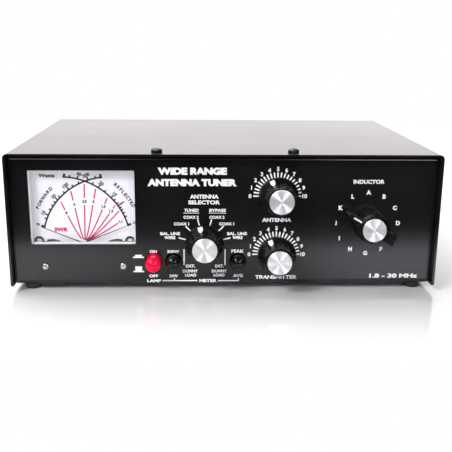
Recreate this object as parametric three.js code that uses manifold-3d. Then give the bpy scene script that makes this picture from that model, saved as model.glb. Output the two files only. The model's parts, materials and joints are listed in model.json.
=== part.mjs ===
// Desk-top antenna tuner in a folded-steel case, with a cross-needle meter.
//
// Millimetres, +Z up. While the case is being built, X = 0 is its middle, Y = 0 is the cover's front
// edge with +Y towards the back, and Z = 0 is the bottom edge of the cover's sides. The last group
// moves everything so that the origin is at the bottom centre of the whole object.

import * as THREE from "three";
import { mergeVertices } from "three/addons/utils/BufferGeometryUtils.js";
import ManifoldModule from "manifold-3d";

const wasm = await ManifoldModule();
wasm.setup();

// ---- Driving dimensions ------------------------------------------------------------------------

const CASE = {
  width: 270, depth: 180, height: 85, sheet: 1.4, bend: 3, panelSetback: 6, lip: 15, flange: 12,
};
const GAP = 0.3; // between a piece and the piece it is cut to fit or turns in
const REST = 0.1; // between a piece and the face it is clamped or glued to
const SIDES = 20; // facets round a turned piece
const FINE = 12; // facets round a small piece
const THIN = 8; // facets round a thin rod
const FOOT = { height: 4, topRadius: 5.5, bottomRadius: 4.4, inset: 11.5, setback: 13 };

const PANEL = CASE.panelSetback; // the front panel's face
const PANEL_BACK = PANEL + CASE.sheet;
const REAR = CASE.depth - CASE.panelSetback; // the rear panel's face
const REAR_INNER = REAR - CASE.sheet;
const FLOOR = CASE.sheet; // top of the chassis floor
const COVER_CEILING = CASE.height - CASE.sheet;
const LIP_TOP = COVER_CEILING - GAP;
const CHASSIS_HALF = CASE.width / 2 - CASE.sheet - GAP;

const WINDOW = { x: -89.2, z: 50.1, width: 65.6, height: 47.4 };
const METER = { width: 72, bottom: 4.5, top: 76.5, back: 45, wall: 1.6 };
const SCALE = { front: 11.6, thickness: 0.8, bottom: 22 };
const NEEDLE = { pivotX: 26.2, pivotZ: 15.9, length: 57, thickness: 0.4, restAngle: 22, staffBack: 22 };
const MOVEMENT = { radius: 7.4, front: 17, back: 33, bore: 1 };
const METER_SCREW = { spread: 24.5, z: 12, shank: 1.2, head: 1.95 };

const BUTTON = { z: 15.2, radius: 4.8, hole: 5.4, travel: 4, stem: 1.5, capLength: 15.5, length: 33 };
const LAMP_X = -45.2;
const POWER_X = -32.6;
const PEAK_X = 8.4;
const SWITCH = { front: 19, back: 37, half: 5, bottom: 9.2, top: 21.2 };
const BOARD = { left: -51.5, right: 14, front: 15, back: 62, bottom: 3.4, thickness: 1.6 };

const DIAL_SWEEP = 180; // a variable capacitor's half turn
const DIAL_MARKS = 10;
const DIAL_SET = 3.56; // the dial reading that both capacitors are left at
const ANTENNA = { x: 33.8, z: 57.9, turn: (DIAL_SET / DIAL_MARKS) * DIAL_SWEEP - 90 };
const TRANSMITTER = { x: 33.5, z: 19.4, turn: ANTENNA.turn };
const SELECTOR = { x: -12.8, z: 27.4, turn: -15 };
const INDUCTOR = { x: 91.4, z: 40.1, turn: -60 };

const SHAFT = { radius: 3, bore: 3.3, hole: 5, proud: 10 };
const KNOB = {
  skirt: 12.3, skirtFront: 3.4, shoulder: 8, body: 9, lobe: 0.3, lobes: 10, clearance: 0.8, height: 18.5,
};
const CAP = { radius: 7.7, thickness: 1.2 };
const BAR = { hub: 10.2, cap: 7.3, height: 18, tip: 18, tail: 16.5, tailHalf: 4, tipHalf: 1.5, top: 14, bottom: 2.5 };

const CAPACITOR = { half: 17.6, front: 12, back: 66, plate: 0.9, pitch: 6.6, rotor: 15.2, plates: 7 };
const COIL = {
  x: 92, y: 104, z: 42, radius: 24.2, wire: 0.9, turns: 11, pitch: 5.5, former: 22, bore: 20.4,
};

const SOCKET_XS = { transmitter: -98, coax_1: -62, coax_2: -26, dummy_load: 10 };
const SOCKET = { z: 30, flange: 12.7, flangeThickness: 2, barrel: 7.9, length: 16.5, hole: 7 };
const POST = { z: 52, wireX: 44, balancedX: [74, 102], foot: 8, hole: 4, length: 15.5 };
const GROUND = { x: 118, z: 15, stud: 2, hole: 2.4, length: 15.5 };
const JACK = { x: -121, z: 58, radius: 4, hole: 4.3 };

// ---- Solids ------------------------------------------------------------------------------------

/** A closed geometry as a solid that can be cut and joined, with its faces turned outwards. */
function solid(geometry) {
  geometry.deleteAttribute("normal");
  geometry.deleteAttribute("uv");
  const welded = mergeVertices(geometry);
  const vertProperties = welded.attributes.position.array;
  const [a, b, c] = [new THREE.Vector3(), new THREE.Vector3(), new THREE.Vector3()];
  const triangles = [];
  let volume = 0;
  for (let i = 0; i < welded.index.count; i += 3) {
    const corners = [0, 1, 2].map((k) => welded.index.getX(i + k));
    if (new Set(corners).size === 3) {
      [a, b, c].forEach((point, k) => point.fromArray(vertProperties, 3 * corners[k]));
      volume += a.dot(b.cross(c));
      triangles.push(corners);
    }
  }
  if (volume < 0) triangles.forEach((corners) => corners.reverse());
  const triVerts = Uint32Array.from(triangles.flat());
  return new wasm.Manifold(new wasm.Mesh({ numProp: 3, vertProperties, triVerts }));
}

function block(x0, x1, y0, y1, z0, z1) {
  const box = new THREE.BoxGeometry(x1 - x0, y1 - y0, z1 - z0);
  return solid(box.translate((x0 + x1) / 2, (y0 + y1) / 2, (z0 + z1) / 2));
}

/** A round bar along Y, centred on (x, z). */
function rodAlongY(x, z, y0, y1, radius, sides = FINE) {
  return solid(new THREE.CylinderGeometry(radius, radius, y1 - y0, sides).translate(x, (y0 + y1) / 2, z));
}

/** A round bar along Z, centred on (x, y). */
function rodAlongZ(x, y, z0, z1, radius, sides = FINE) {
  const bar = new THREE.CylinderGeometry(radius, radius, z1 - z0, sides).rotateX(Math.PI / 2);
  return solid(bar.translate(x, y, (z0 + z1) / 2));
}

/** A piece turned about the Y axis from a profile of [radius, y] points. */
function turned(profile, sides = SIDES) {
  return solid(new THREE.LatheGeometry(profile.map(([r, y]) => new THREE.Vector2(r, y)), sides));
}

/** A piece turned about the Z axis from a profile of [radius, z] points. */
function turnedUpright(profile, sides = SIDES) {
  const points = profile.map(([r, z]) => new THREE.Vector2(r, z));
  return solid(new THREE.LatheGeometry(points, sides).rotateX(Math.PI / 2));
}

/** An outline in X and Z, extruded along Y. */
function alongY(shape, y0, y1, curveSegments = 4) {
  const raw = new THREE.ExtrudeGeometry(shape, { depth: y1 - y0, bevelEnabled: false, curveSegments });
  return solid(raw.rotateX(Math.PI / 2).translate(0, y1, 0));
}

/** An outline in Y and Z, extruded along X. */
function alongX(shape, x0, x1, curveSegments = 4) {
  const raw = new THREE.ExtrudeGeometry(shape, { depth: x1 - x0, bevelEnabled: false, curveSegments });
  const [x, y, z] = [[1, 0, 0], [0, 1, 0], [0, 0, 1]].map((axis) => new THREE.Vector3(...axis));
  return solid(raw.applyMatrix4(new THREE.Matrix4().makeBasis(y, z, x)).translate(x0, 0, 0));
}

function roundedRect(left, right, bottom, top, radius) {
  const shape = new THREE.Shape();
  shape.absarc(right - radius, bottom + radius, radius, -Math.PI / 2, 0);
  shape.absarc(right - radius, top - radius, radius, 0, Math.PI / 2);
  shape.absarc(left + radius, top - radius, radius, Math.PI / 2, Math.PI);
  shape.absarc(left + radius, bottom + radius, radius, Math.PI, 1.5 * Math.PI);
  return shape;
}

/** A straight-sided outline through a list of [x, z] points. */
function polygon(points) {
  return new THREE.Shape(points.map(([x, z]) => new THREE.Vector2(x, z)));
}

/** An outline through `count` points spaced evenly round the axis, at the radius given for each angle. */
function ringOutline(count, radiusAt) {
  return polygon(Array.from({ length: count }, (_, i) => {
    const angle = (i / count) * 2 * Math.PI;
    return [radiusAt(angle) * Math.cos(angle), radiusAt(angle) * Math.sin(angle)];
  }));
}

function joined(solids) {
  return solids.reduce((whole, next) => whole.add(next));
}

function drilled(body, holes) {
  return holes.reduce((whole, hole) => whole.subtract(hole), body);
}

// ---- Parts -------------------------------------------------------------------------------------

const FINISHES = {
  blackPaint: { color: 0x232527, roughness: 0.4, metalness: 0.2 },
  blackPlastic: { color: 0x17181a, roughness: 0.35, metalness: 0 },
  rubber: { color: 0x101010, roughness: 0.85, metalness: 0 },
  whitePlastic: { color: 0xe8e8ea, roughness: 0.5, metalness: 0 },
  clearPlastic: { color: 0xf4f7fa, roughness: 0.05, metalness: 0, transparent: true, opacity: 0.3 },
  scalePrint: { color: 0xf6f4fa, roughness: 0.6, metalness: 0 },
  redPlastic: { color: 0xd8143c, roughness: 0.25, metalness: 0 },
  spunAluminium: { color: 0xd6d8da, roughness: 0.3, metalness: 1 },
  aluminium: { color: 0xb9bcbf, roughness: 0.4, metalness: 1 },
  nickel: { color: 0xc3bfae, roughness: 0.3, metalness: 1 },
  blackScrew: { color: 0x1b1b1c, roughness: 0.4, metalness: 0.7 },
  copper: { color: 0xb87345, roughness: 0.35, metalness: 1 },
  ceramic: { color: 0xeee9dc, roughness: 0.3, metalness: 0 },
  phenolic: { color: 0x6d3f20, roughness: 0.5, metalness: 0 },
  ferrite: { color: 0x35383a, roughness: 0.6, metalness: 0.1 },
  circuitBoard: { color: 0x2f6b3a, roughness: 0.5, metalness: 0 },
  bulbGlass: { color: 0xfff3cf, roughness: 0.05, metalness: 0, transparent: true, opacity: 0.4 },
};

/** A named mesh of one solid, in one finish. */
function part(name, body, finish) {
  const { vertProperties, triVerts } = body.getMesh();
  const geometry = new THREE.BufferGeometry();
  geometry.setAttribute("position", new THREE.BufferAttribute(new Float32Array(vertProperties), 3));
  geometry.setIndex(new THREE.BufferAttribute(new Uint32Array(triVerts), 1));
  geometry.computeVertexNormals();
  const mesh = new THREE.Mesh(geometry, new THREE.MeshStandardMaterial(FINISHES[finish]));
  mesh.name = name;
  return mesh;
}

/** The same mesh, moved so that its own axis stands at (x, z) on the front or rear panel. */
function placed(mesh, x, z) {
  mesh.position.set(x, 0, z);
  return mesh;
}

/** Pieces that turn together about one shaft, set to the angle that their knob is left at. */
function turning({ x, z, turn }, meshes) {
  const group = new THREE.Group();
  group.position.set(x, 0, z);
  group.rotation.y = THREE.MathUtils.degToRad(turn);
  group.add(...meshes);
  return group;
}

// ---- Case --------------------------------------------------------------------------------------

const COVER_SCREW = { spread: 42.5, y: 9.5, head: 3.5, headHeight: 2.4, shank: 1.3, length: 7 };
const CORNERS = [["front", "left"], ["front", "right"], ["rear", "left"], ["rear", "right"]];

/** Front panel, floor and rear panel in one folded sheet, with short lips at the top of both panels. */
function chassisSheet() {
  const { sheet, bend, lip } = CASE;
  const outer = alongX(roundedRect(PANEL, REAR, 0, LIP_TOP, bend), -CHASSIS_HALF, CHASSIS_HALF);
  const hollow = roundedRect(PANEL_BACK, REAR_INNER, sheet, LIP_TOP - sheet, bend - sheet);
  const inner = alongX(hollow, -CHASSIS_HALF - 1, CHASSIS_HALF + 1);
  const [openLow, openHigh] = [LIP_TOP - 2 * sheet, LIP_TOP + 1];
  const open = block(-CHASSIS_HALF - 1, CHASSIS_HALF + 1, PANEL + lip, REAR - lip, openLow, openHigh);
  const flanges = [-1, 1].map((side) => {
    const face = side * (CHASSIS_HALF - sheet / 2);
    return block(face - sheet / 2, face + sheet / 2, PANEL + lip, REAR - lip, sheet / 2, CASE.flange);
  });
  const section = roundedRect(-CHASSIS_HALF, CHASSIS_HALF, -5, LIP_TOP, bend - sheet);
  const clearOfCover = alongY(section, 0, CASE.depth);
  return joined([drilled(outer, [inner, open]), ...flanges]).intersect(clearOfCover);
}

function frontPanelHoles() {
  const through = (x, z, radius) => rodAlongY(x, z, PANEL - 1, PANEL_BACK + 1, radius, 16);
  const { x, z, width, height } = WINDOW;
  const [left, right] = [x - width / 2, x + width / 2];
  const window = block(left, right, PANEL - 1, PANEL_BACK + 1, z - height / 2, z + height / 2);
  const shafts = [ANTENNA, TRANSMITTER, SELECTOR, INDUCTOR].map((at) => through(at.x, at.z, SHAFT.hole));
  const buttons = [LAMP_X, POWER_X, PEAK_X].map((buttonX) => through(buttonX, BUTTON.z, BUTTON.hole));
  const screws = [-1, 1].map((side) => {
    return through(x + side * METER_SCREW.spread, METER_SCREW.z, METER_SCREW.shank + GAP);
  });
  return [window, ...shafts, ...buttons, ...screws];
}

function rearPanelHoles() {
  const through = (x, z, radius) => rodAlongY(x, z, REAR_INNER - 1, REAR + 1, radius);
  const sockets = Object.values(SOCKET_XS).map((x) => through(x, SOCKET.z, SOCKET.hole));
  const posts = [POST.wireX, ...POST.balancedX].map((x) => through(x, POST.z, POST.hole));
  const ground = through(GROUND.x, GROUND.z, GROUND.hole);
  return [...sockets, ...posts, ground, through(JACK.x, JACK.z, JACK.hole)];
}

function coverScrewHoles(radius) {
  return [-1, 1].map((side) => {
    return rodAlongZ(side * COVER_SCREW.spread, COVER_SCREW.y, LIP_TOP - 5, CASE.height + 1, radius, THIN);
  });
}

function makeChassis() {
  const holes = [...frontPanelHoles(), ...rearPanelHoles(), ...coverScrewHoles(COVER_SCREW.shank + GAP)];
  return part("chassis", drilled(chassisSheet(), holes), "blackPaint");
}

/** Top and two sides in one folded sheet, with the sides' bottom corners rounded. */
function makeCover() {
  const { width, depth, height, sheet, bend } = CASE;
  const half = width / 2;
  const below = -20;
  const crossSection = alongY(roundedRect(-half, half, below, height, bend), 0, depth);
  const sideView = alongX(roundedRect(0, depth, 0, height + 20, 2), -half - 1, half + 1);
  const inside = roundedRect(-half + sheet, half - sheet, below - 5, COVER_CEILING, bend - sheet);
  const hollow = alongY(inside, -1, depth + 1);
  const holes = coverScrewHoles(COVER_SCREW.shank + 2 * GAP);
  return part("top_cover", drilled(crossSection.intersect(sideView), [hollow, ...holes]), "blackPaint");
}

/** A pan-head screw standing on the cover, with a straight slot. */
function coverScrew(side) {
  const { spread, y, head, headHeight, shank, length } = COVER_SCREW;
  const seat = CASE.height + REST;
  const profile = [
    [0, seat - length], [shank, seat - length], [shank, seat], [head, seat], [head, seat + 0.5 * headHeight],
    [0.7 * head, seat + 0.9 * headHeight], [0, seat + headHeight],
  ];
  const top = seat + headHeight;
  const slot = block(-head, head, -0.4, 0.4, top - 1, top + 1);
  const name = side < 0 ? "cover_screw_left" : "cover_screw_right";
  const mesh = part(name, turnedUpright(profile, 16).subtract(slot), "blackScrew");
  mesh.position.set(side * spread, y, 0);
  return mesh;
}

/** A tapered rubber foot with a shallow well in its sole. */
function foot(end, side) {
  const { height, topRadius, bottomRadius, inset, setback } = FOOT;
  const well = 0.45 * bottomRadius;
  const profile = [
    [0, -REST], [topRadius, -REST], [topRadius, -0.3 * height], [bottomRadius, -0.9 * height],
    [bottomRadius - 0.5, -height], [well, -height], [well, -0.7 * height], [0, -0.7 * height],
  ];
  const mesh = part(`foot_${end}_${side}`, turnedUpright(profile, 16), "rubber");
  const x = CASE.width / 2 - inset;
  mesh.position.set(side === "left" ? -x : x, end === "front" ? setback : CASE.depth - setback, 0);
  return mesh;
}

// ---- Meter -------------------------------------------------------------------------------------

function makeMeterCase() {
  const { width, bottom, top, back, wall } = METER;
  const [left, right] = [WINDOW.x - width / 2, WINDOW.x + width / 2];
  const front = PANEL_BACK + REST;
  const shell = block(left, right, front, back, bottom, top);
  const hollow = block(left + wall, right - wall, front - 1, back - wall, bottom + wall, top - wall);
  const bosses = [-1, 1].map((side) => {
    const x = WINDOW.x + side * METER_SCREW.spread;
    const pillar = block(x - 2, x + 2, SCALE.front - 0.6, 16, bottom + wall / 2, METER_SCREW.z + 2);
    return pillar.subtract(rodAlongY(x, METER_SCREW.z, 5, 15, METER_SCREW.shank + GAP));
  });
  return part("meter_case", joined([shell.subtract(hollow), ...bosses]), "whitePlastic");
}

/** A clear tray: its front fills the panel's opening, and three walls run back to the scale. */
function makeMeterWindow() {
  const halfWidth = WINDOW.width / 2 - GAP;
  const halfHeight = WINDOW.height / 2 - GAP;
  const [left, right] = [WINDOW.x - halfWidth, WINDOW.x + halfWidth];
  const [bottom, top] = [WINDOW.z - halfHeight, WINDOW.z + halfHeight];
  const wall = 1.2;
  const pane = block(left, right, PANEL, SCALE.front - GAP, bottom, top);
  const inside = block(left + wall, right - wall, PANEL + wall, SCALE.front + 1, bottom - 1, top - wall);
  return part("meter_window", pane.subtract(inside), "clearPlastic");
}

function makeMeterScale() {
  const half = METER.width / 2 - METER.wall - GAP;
  const back = SCALE.front + SCALE.thickness;
  const top = METER.top - METER.wall - GAP;
  const card = block(WINDOW.x - half, WINDOW.x + half, SCALE.front, back, SCALE.bottom, top);
  return part("meter_scale", card, "scalePrint");
}

/**
 * A needle on its staff, in a frame whose origin is the pivot, with the needle straight up +Z.
 * It has a tapered blade, a hub, a short tail that balances the blade, and the staff behind.
 */
function needle(name, y) {
  const { length, thickness } = NEEDLE;
  const blade = polygon([[-0.6, 0], [0.6, 0], [0.2, length], [-0.2, length]]);
  const tail = block(-0.9, 0.9, y, y + thickness, -6, 0);
  const hub = rodAlongY(0, 0, y, y + 1, 2.2);
  const staff = rodAlongY(0, 0, y, NEEDLE.staffBack, 0.6, THIN);
  return part(name, joined([alongY(blade, y, y + thickness), tail, hub, staff]), "blackPaint");
}

/** Both needles cross the window from pivots below it, each lying low at its zero. */
function needles() {
  const { pivotX, pivotZ, restAngle } = NEEDLE;
  const lean = 90 - restAngle;
  const [forwardY, reflectedY] = [8.6, 9.9];
  return [
    turning({ x: WINDOW.x + pivotX, z: pivotZ, turn: -lean }, [needle("forward_needle", forwardY)]),
    turning({ x: WINDOW.x - pivotX, z: pivotZ, turn: lean }, [needle("reflected_needle", reflectedY)]),
  ];
}

/** The magnet and coil housing that turns one needle, bored for the needle's staff. */
function movement(name, side) {
  const { radius, front, back, bore } = MOVEMENT;
  const boreEnd = NEEDLE.staffBack + 3;
  const outside = [[bore, front], [radius, front], [radius, back], [0, back]];
  const profile = [...outside, [0, boreEnd], [bore, boreEnd], [bore, front]];
  return placed(part(name, turned(profile), "aluminium"), WINDOW.x + side * NEEDLE.pivotX, NEEDLE.pivotZ);
}

function makeMeterLamp() {
  const profile = [[0, 16], [2, 16.6], [2.8, 18.4], [2.8, 25], [3.4, 25], [3.4, 34], [0, 34]];
  return placed(part("meter_lamp", turned(profile, 16), "bulbGlass"), WINDOW.x, METER.top - 9);
}

function meterScrew(side) {
  const { spread, z, shank, head } = METER_SCREW;
  const seat = PANEL - REST;
  const end = 14;
  const profile = [
    [0, seat - 1], [0.8 * head, seat - 0.8], [head, seat], [shank, seat], [shank, end], [0, end],
  ];
  const slot = block(-head, head, seat - 2, seat - 0.6, -0.25, 0.25);
  const name = side < 0 ? "meter_screw_left" : "meter_screw_right";
  return placed(part(name, turned(profile, 16).subtract(slot), "nickel"), WINDOW.x + side * spread, z);
}

// ---- Push buttons and the meter board ------------------------------------------------------------

/** A domed cap on a square plunger. `proud` is how far the dome stands out of the panel. */
function button(name, x, proud, finish) {
  const r = BUTTON.radius;
  const front = PANEL - proud;
  const capBack = front + BUTTON.capLength;
  const dome = [0.95, 0.8, 0.55, 0.25].map((s) => [r * Math.sqrt(1 - s * s), front + 3.6 * (1 - s)]);
  const cap = turned([[0, front], ...dome, [r, front + 3.6], [r, capBack], [0, capBack]], 16);
  const { stem, length } = BUTTON;
  const plunger = block(-stem, stem, capBack - 1, front + length, -stem, stem);
  return placed(part(name, cap.add(plunger), finish), x, BUTTON.z);
}

/** The latching switch behind a button, with its well for the plunger and six legs to the board. */
function pushSwitch(name, x) {
  const { front, back, half, bottom, top } = SWITCH;
  const reach = BUTTON.stem + GAP;
  const well = block(x - reach, x + reach, front - 1, back - 3, BUTTON.z - reach, BUTTON.z + reach);
  const boardTop = BOARD.bottom + BOARD.thickness + GAP;
  const legs = [-1, 1].flatMap((side) => {
    return [0.2, 0.5, 0.8].map((along) => {
      const y = front + along * (back - front);
      const legX = x + side * (half - 1.2);
      return block(legX - 0.5, legX + 0.5, y - 0.5, y + 0.5, boardTop, bottom + 1);
    });
  });
  const housing = block(x - half, x + half, front, back, bottom, top).subtract(well);
  return part(name, joined([housing, ...legs]), "blackPlastic");
}

/** The circuit board under the switches, with its trimmers and a transformer standing on it. */
function makeMeterBoard() {
  const { left, right, front, back, bottom, thickness } = BOARD;
  const top = bottom + thickness;
  const trimmers = [-19, -11, -3].map((x) => block(x - 3, x + 3, front + 6, front + 12, top - 0.5, top + 4));
  const transformer = block(left + 26, left + 34, back - 12, back - 4, top - 0.5, top + 2);
  const plate = block(left, right, front, back, bottom, top);
  return part("meter_board", joined([plate, ...trimmers, transformer]), "circuitBoard");
}

// ---- Variable capacitors -------------------------------------------------------------------------

function plateYs(offset, count) {
  return Array.from({ length: count }, (_, i) => CAPACITOR.front + 8 + offset + CAPACITOR.pitch * i);
}

/** Two square end plates held apart by tie rods, with bearings for the shaft. */
function capacitorFrame(name, at) {
  const { half, front, back } = CAPACITOR;
  const ends = [front, back - 2].map((y) => block(-half, half, y, y + 2, -half, half));
  const ties = [-1, 1].map((side) => rodAlongY(-half + 2, side * (half - 2), front, back, 1.4, THIN));
  const bearings = [front - 2, back - 2].map((y) => rodAlongY(0, 0, y, y + 4, 5, FINE));
  const bore = rodAlongY(0, 0, front - 5, back + 5, SHAFT.bore);
  return placed(part(name, joined([...ends, ...ties, ...bearings]).subtract(bore), "aluminium"), at.x, at.z);
}

/** Fixed plates on the +X side of the shaft, joined by two rods clear of the turning plates. */
function capacitorStator(name, at) {
  const { half, plate, plates, front, back } = CAPACITOR;
  const rodX = half - 2;
  const rodZ = half - 2.5;
  const notch = rodAlongY(0, 0, front, back, 5, THIN);
  const edge = half - 0.3;
  const leaves = plateYs(0, plates).map((y) => block(1, edge, y, y + plate, -edge, edge).subtract(notch));
  const [rodFront, rodBack] = [front + 2 + GAP, back - 2 - GAP];
  const rods = [-1, 1].map((side) => rodAlongY(rodX, side * rodZ, rodFront, rodBack, 1.3, THIN));
  return placed(part(name, joined([...leaves, ...rods]), "aluminium"), at.x, at.z);
}

/** Shaft and half-round turning plates, which lie fully between the fixed plates at the end of the dial. */
function capacitorRotor(name) {
  const { plate, plates, rotor, back } = CAPACITOR;
  const half = new THREE.Shape();
  half.absarc(0, 0, rotor, 0, Math.PI); // the half that the knob's index points to
  const leaves = plateYs(CAPACITOR.pitch / 2, plates - 1).map((y) => alongY(half, y, y + plate, 12));
  const collar = rodAlongY(0, 0, CAPACITOR.front + 3, back - 3, 4, THIN);
  const shaft = rodAlongY(0, 0, PANEL - SHAFT.proud, back + 3, SHAFT.radius, FINE);
  return part(name, joined([...leaves, collar, shaft]), "aluminium");
}

// ---- Rotary switches -----------------------------------------------------------------------------

/** A rotary switch's fixed parts: detent plate, bushing, tie rods and round wafers with lugs. */
function rotarySwitch(name, at, { detent, rods, wafer, waferYs, lugs }) {
  const plate = rodAlongY(0, 0, PANEL_BACK + 0.5, PANEL_BACK + 4, detent, SIDES);
  const bushing = rodAlongY(0, 0, PANEL + 0.3, PANEL_BACK + 4, SHAFT.hole - GAP, SIDES);
  const last = waferYs[waferYs.length - 1];
  const ties = [-1, 1].map((side) => rodAlongY(side * rods, 0, PANEL_BACK + 1, last + 3, 1.3, THIN));
  const wafers = waferYs.flatMap((y) => {
    const disc = rodAlongY(0, 0, y, y + 1.6, wafer, SIDES).subtract(rodAlongY(0, 0, y - 1, y + 3, 6));
    const tabs = Array.from({ length: lugs }, (_, i) => {
      const angle = ((i + 0.5) / lugs) * 2 * Math.PI;
      const tab = new THREE.BoxGeometry(1.6, 0.6, 4).translate(0, y + 0.8, wafer + 0.5).rotateY(angle);
      return solid(tab);
    });
    return [disc, ...tabs];
  });
  const bore = rodAlongY(0, 0, PANEL - 2, PANEL_BACK + 6, SHAFT.bore);
  const body = joined([plate, bushing, ...ties, ...wafers]).subtract(bore);
  return placed(part(name, body, "phenolic"), at.x, at.z);
}

/** The turning shaft of a rotary switch, with a contact disc inside each wafer. */
function switchShaft(name, waferYs) {
  const last = waferYs[waferYs.length - 1];
  const discs = waferYs.map((y) => rodAlongY(0, 0, y + 0.2, y + 1.4, 6 - 2 * GAP));
  const nose = block(-1.2, 1.2, waferYs[0] + 0.4, waferYs[0] + 1.2, 0, 6 - 2 * GAP);
  const shaft = rodAlongY(0, 0, PANEL - SHAFT.proud, last + 4, SHAFT.radius, FINE);
  return part(name, joined([shaft, ...discs, nose]), "aluminium");
}

const SELECTOR_SWITCH = { detent: 13.5, rods: 11.5, wafer: 15.5, waferYs: [42, 52], lugs: 8 };
const INDUCTOR_SWITCH = { detent: 15, rods: 12.5, wafer: 22, waferYs: [30, 44], lugs: 8 };

// ---- Knobs -----------------------------------------------------------------------------------------

function shaftBore(front) {
  return rodAlongY(0, 0, front + 6, PANEL, SHAFT.bore);
}

/** A round knob: a skirt that slopes up to a scalloped grip, with a seat for the cap in front. */
function roundKnob(name) {
  const { skirt, skirtFront, shoulder, body, lobe, lobes, clearance, height } = KNOB;
  const bodyFront = PANEL - height + CAP.thickness + REST;
  const profile = [
    [0, PANEL - clearance], [skirt, PANEL - clearance], [skirt, PANEL - skirtFront],
    [body, PANEL - shoulder], [0, PANEL - shoulder],
  ];
  const scallops = ringOutline(6 * lobes, (angle) => body + lobe * Math.cos(lobes * angle));
  const grip = alongY(scallops, bodyFront, PANEL - skirtFront);
  return part(name, joined([turned(profile), grip]).subtract(shaftBore(bodyFront)), "blackPlastic");
}

/** A bar-pointer knob: a round hub and a tapered bar across it, narrow end towards +Z. */
function barKnob(name) {
  const { hub, cap, height, tip, tail, tailHalf, tipHalf, top, bottom } = BAR;
  const front = PANEL - height + CAP.thickness + REST;
  const profile = [
    [0, PANEL - KNOB.clearance], [hub, PANEL - KNOB.clearance], [hub - 0.4, PANEL - top + 1],
    [cap + 0.4, PANEL - top - 1], [cap + 0.2, front], [0, front],
  ];
  const outline = new THREE.Shape();
  outline.absarc(0, tip - tipHalf, tipHalf, 0, Math.PI);
  outline.lineTo(-tailHalf, -tail);
  outline.lineTo(tailHalf, -tail);
  const bar = alongY(outline, PANEL - top, PANEL - bottom);
  return part(name, joined([turned(profile), bar]).subtract(shaftBore(front)), "blackPlastic");
}

/** The thin spun disc set into a knob's face. */
function knobCap(name, height, radius) {
  const front = PANEL - height;
  const back = front + CAP.thickness;
  const profile = [[0, front], [radius - 0.3, front], [radius, front + 0.3], [radius, back], [0, back]];
  return part(name, turned(profile), "spunAluminium");
}

// ---- Coil and toroids ------------------------------------------------------------------------------

class Helix extends THREE.Curve {
  getPoint(t, target = new THREE.Vector3()) {
    const angle = 2 * Math.PI * COIL.turns * t;
    const x = COIL.x + COIL.pitch * COIL.turns * (t - 0.5);
    return target.set(x, COIL.y + COIL.radius * Math.cos(angle), COIL.z + COIL.radius * Math.sin(angle));
  }
}

function makeCoil() {
  const wire = ringOutline(5, () => COIL.wire);
  const steps = 11 * COIL.turns;
  const winding = new THREE.ExtrudeGeometry(wire, { extrudePath: new Helix(), steps });
  return part("inductor_coil", solid(winding), "copper");
}

/** An open tube that the coil is wound on, standing on a saddle at each end. */
function makeCoilFormer() {
  const half = (COIL.pitch * COIL.turns) / 2 + 7;
  const { bore: inner, former: outer } = COIL;
  const profile = [[inner, -half], [outer, -half], [outer, half], [inner, half], [inner, -half]];
  const ring = new THREE.LatheGeometry(profile.map(([r, along]) => new THREE.Vector2(r, along)), SIDES);
  const tube = solid(ring.rotateZ(Math.PI / 2).translate(COIL.x, COIL.y, COIL.z));
  const saddles = [-1, 1].map((side) => {
    const x = COIL.x + side * (half - 1.5);
    const leg = block(x - 1.5, x + 1.5, COIL.y - 14, COIL.y + 14, FLOOR + REST, COIL.z - 12);
    const bore = new THREE.CylinderGeometry(outer - 0.5, outer - 0.5, 10, SIDES).rotateZ(Math.PI / 2);
    return leg.subtract(solid(bore.translate(x, COIL.y, COIL.z)));
  });
  return part("coil_former", joined([tube, ...saddles]), "whitePlastic");
}

/** A flat-lying or standing ring core; `inner` and `outer` are its radii. */
function toroid(name, inner, outer, thickness, { x, y, z, standing = false }) {
  const low = -thickness / 2;
  const profile = [[inner, low], [outer, low], [outer, -low], [inner, -low], [inner, low]];
  const mesh = part(name, standing ? turned(profile) : turnedUpright(profile), "ferrite");
  mesh.position.set(x, y, z);
  return mesh;
}

// ---- Rear connectors ---------------------------------------------------------------------------------

/** A coaxial socket: square flange, threaded shell, and an insulator with a centre contact. */
function coaxSocket(name, x) {
  const { flange, flangeThickness, barrel, length, hole, z } = SOCKET;
  const seat = REAR + REST;
  const end = REAR + length;
  const nose = hole - 0.5;
  const profile = [
    [0, seat - 15], [2, seat - 15], [2, seat - 9], [nose, seat - 9], [nose, seat + 0.5],
    [barrel, seat + 0.5], [barrel, end], [barrel - 1.2, end], [barrel - 1.2, end - 6],
    [5.2, end - 6], [5.2, end - 0.5], [2, end - 0.5], [2, end - 9], [0, end - 9],
  ];
  const plate = block(-flange, flange, seat, seat + flangeThickness, -flange, flange);
  return placed(part(name, turned(profile, 16).add(plate), "nickel"), x, z);
}

/** An insulated post: a ceramic cone through the panel, and a stud with a nut on it. */
function insulatedPost(name, x) {
  const { foot: footRadius, hole, length, z } = POST;
  const seat = REAR + REST;
  const end = REAR + length;
  const neck = hole - GAP;
  const profile = [
    [0, REAR_INNER - 14], [1.8, REAR_INNER - 14], [1.8, REAR_INNER - 7], [6, REAR_INNER - 7],
    [6, REAR_INNER - REST], [neck, REAR_INNER - REST], [neck, seat], [footRadius, seat],
    [footRadius, seat + 2], [5, seat + 8], [1.8, seat + 8], [1.8, end], [0, end],
  ];
  const nut = rodAlongY(0, 0, seat + 7.8, seat + 11, 4, 6);
  return placed(part(name, turned(profile, FINE).add(nut), "ceramic"), x, z);
}

const WASHER_SEAT = REAR + 3.1;

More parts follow.
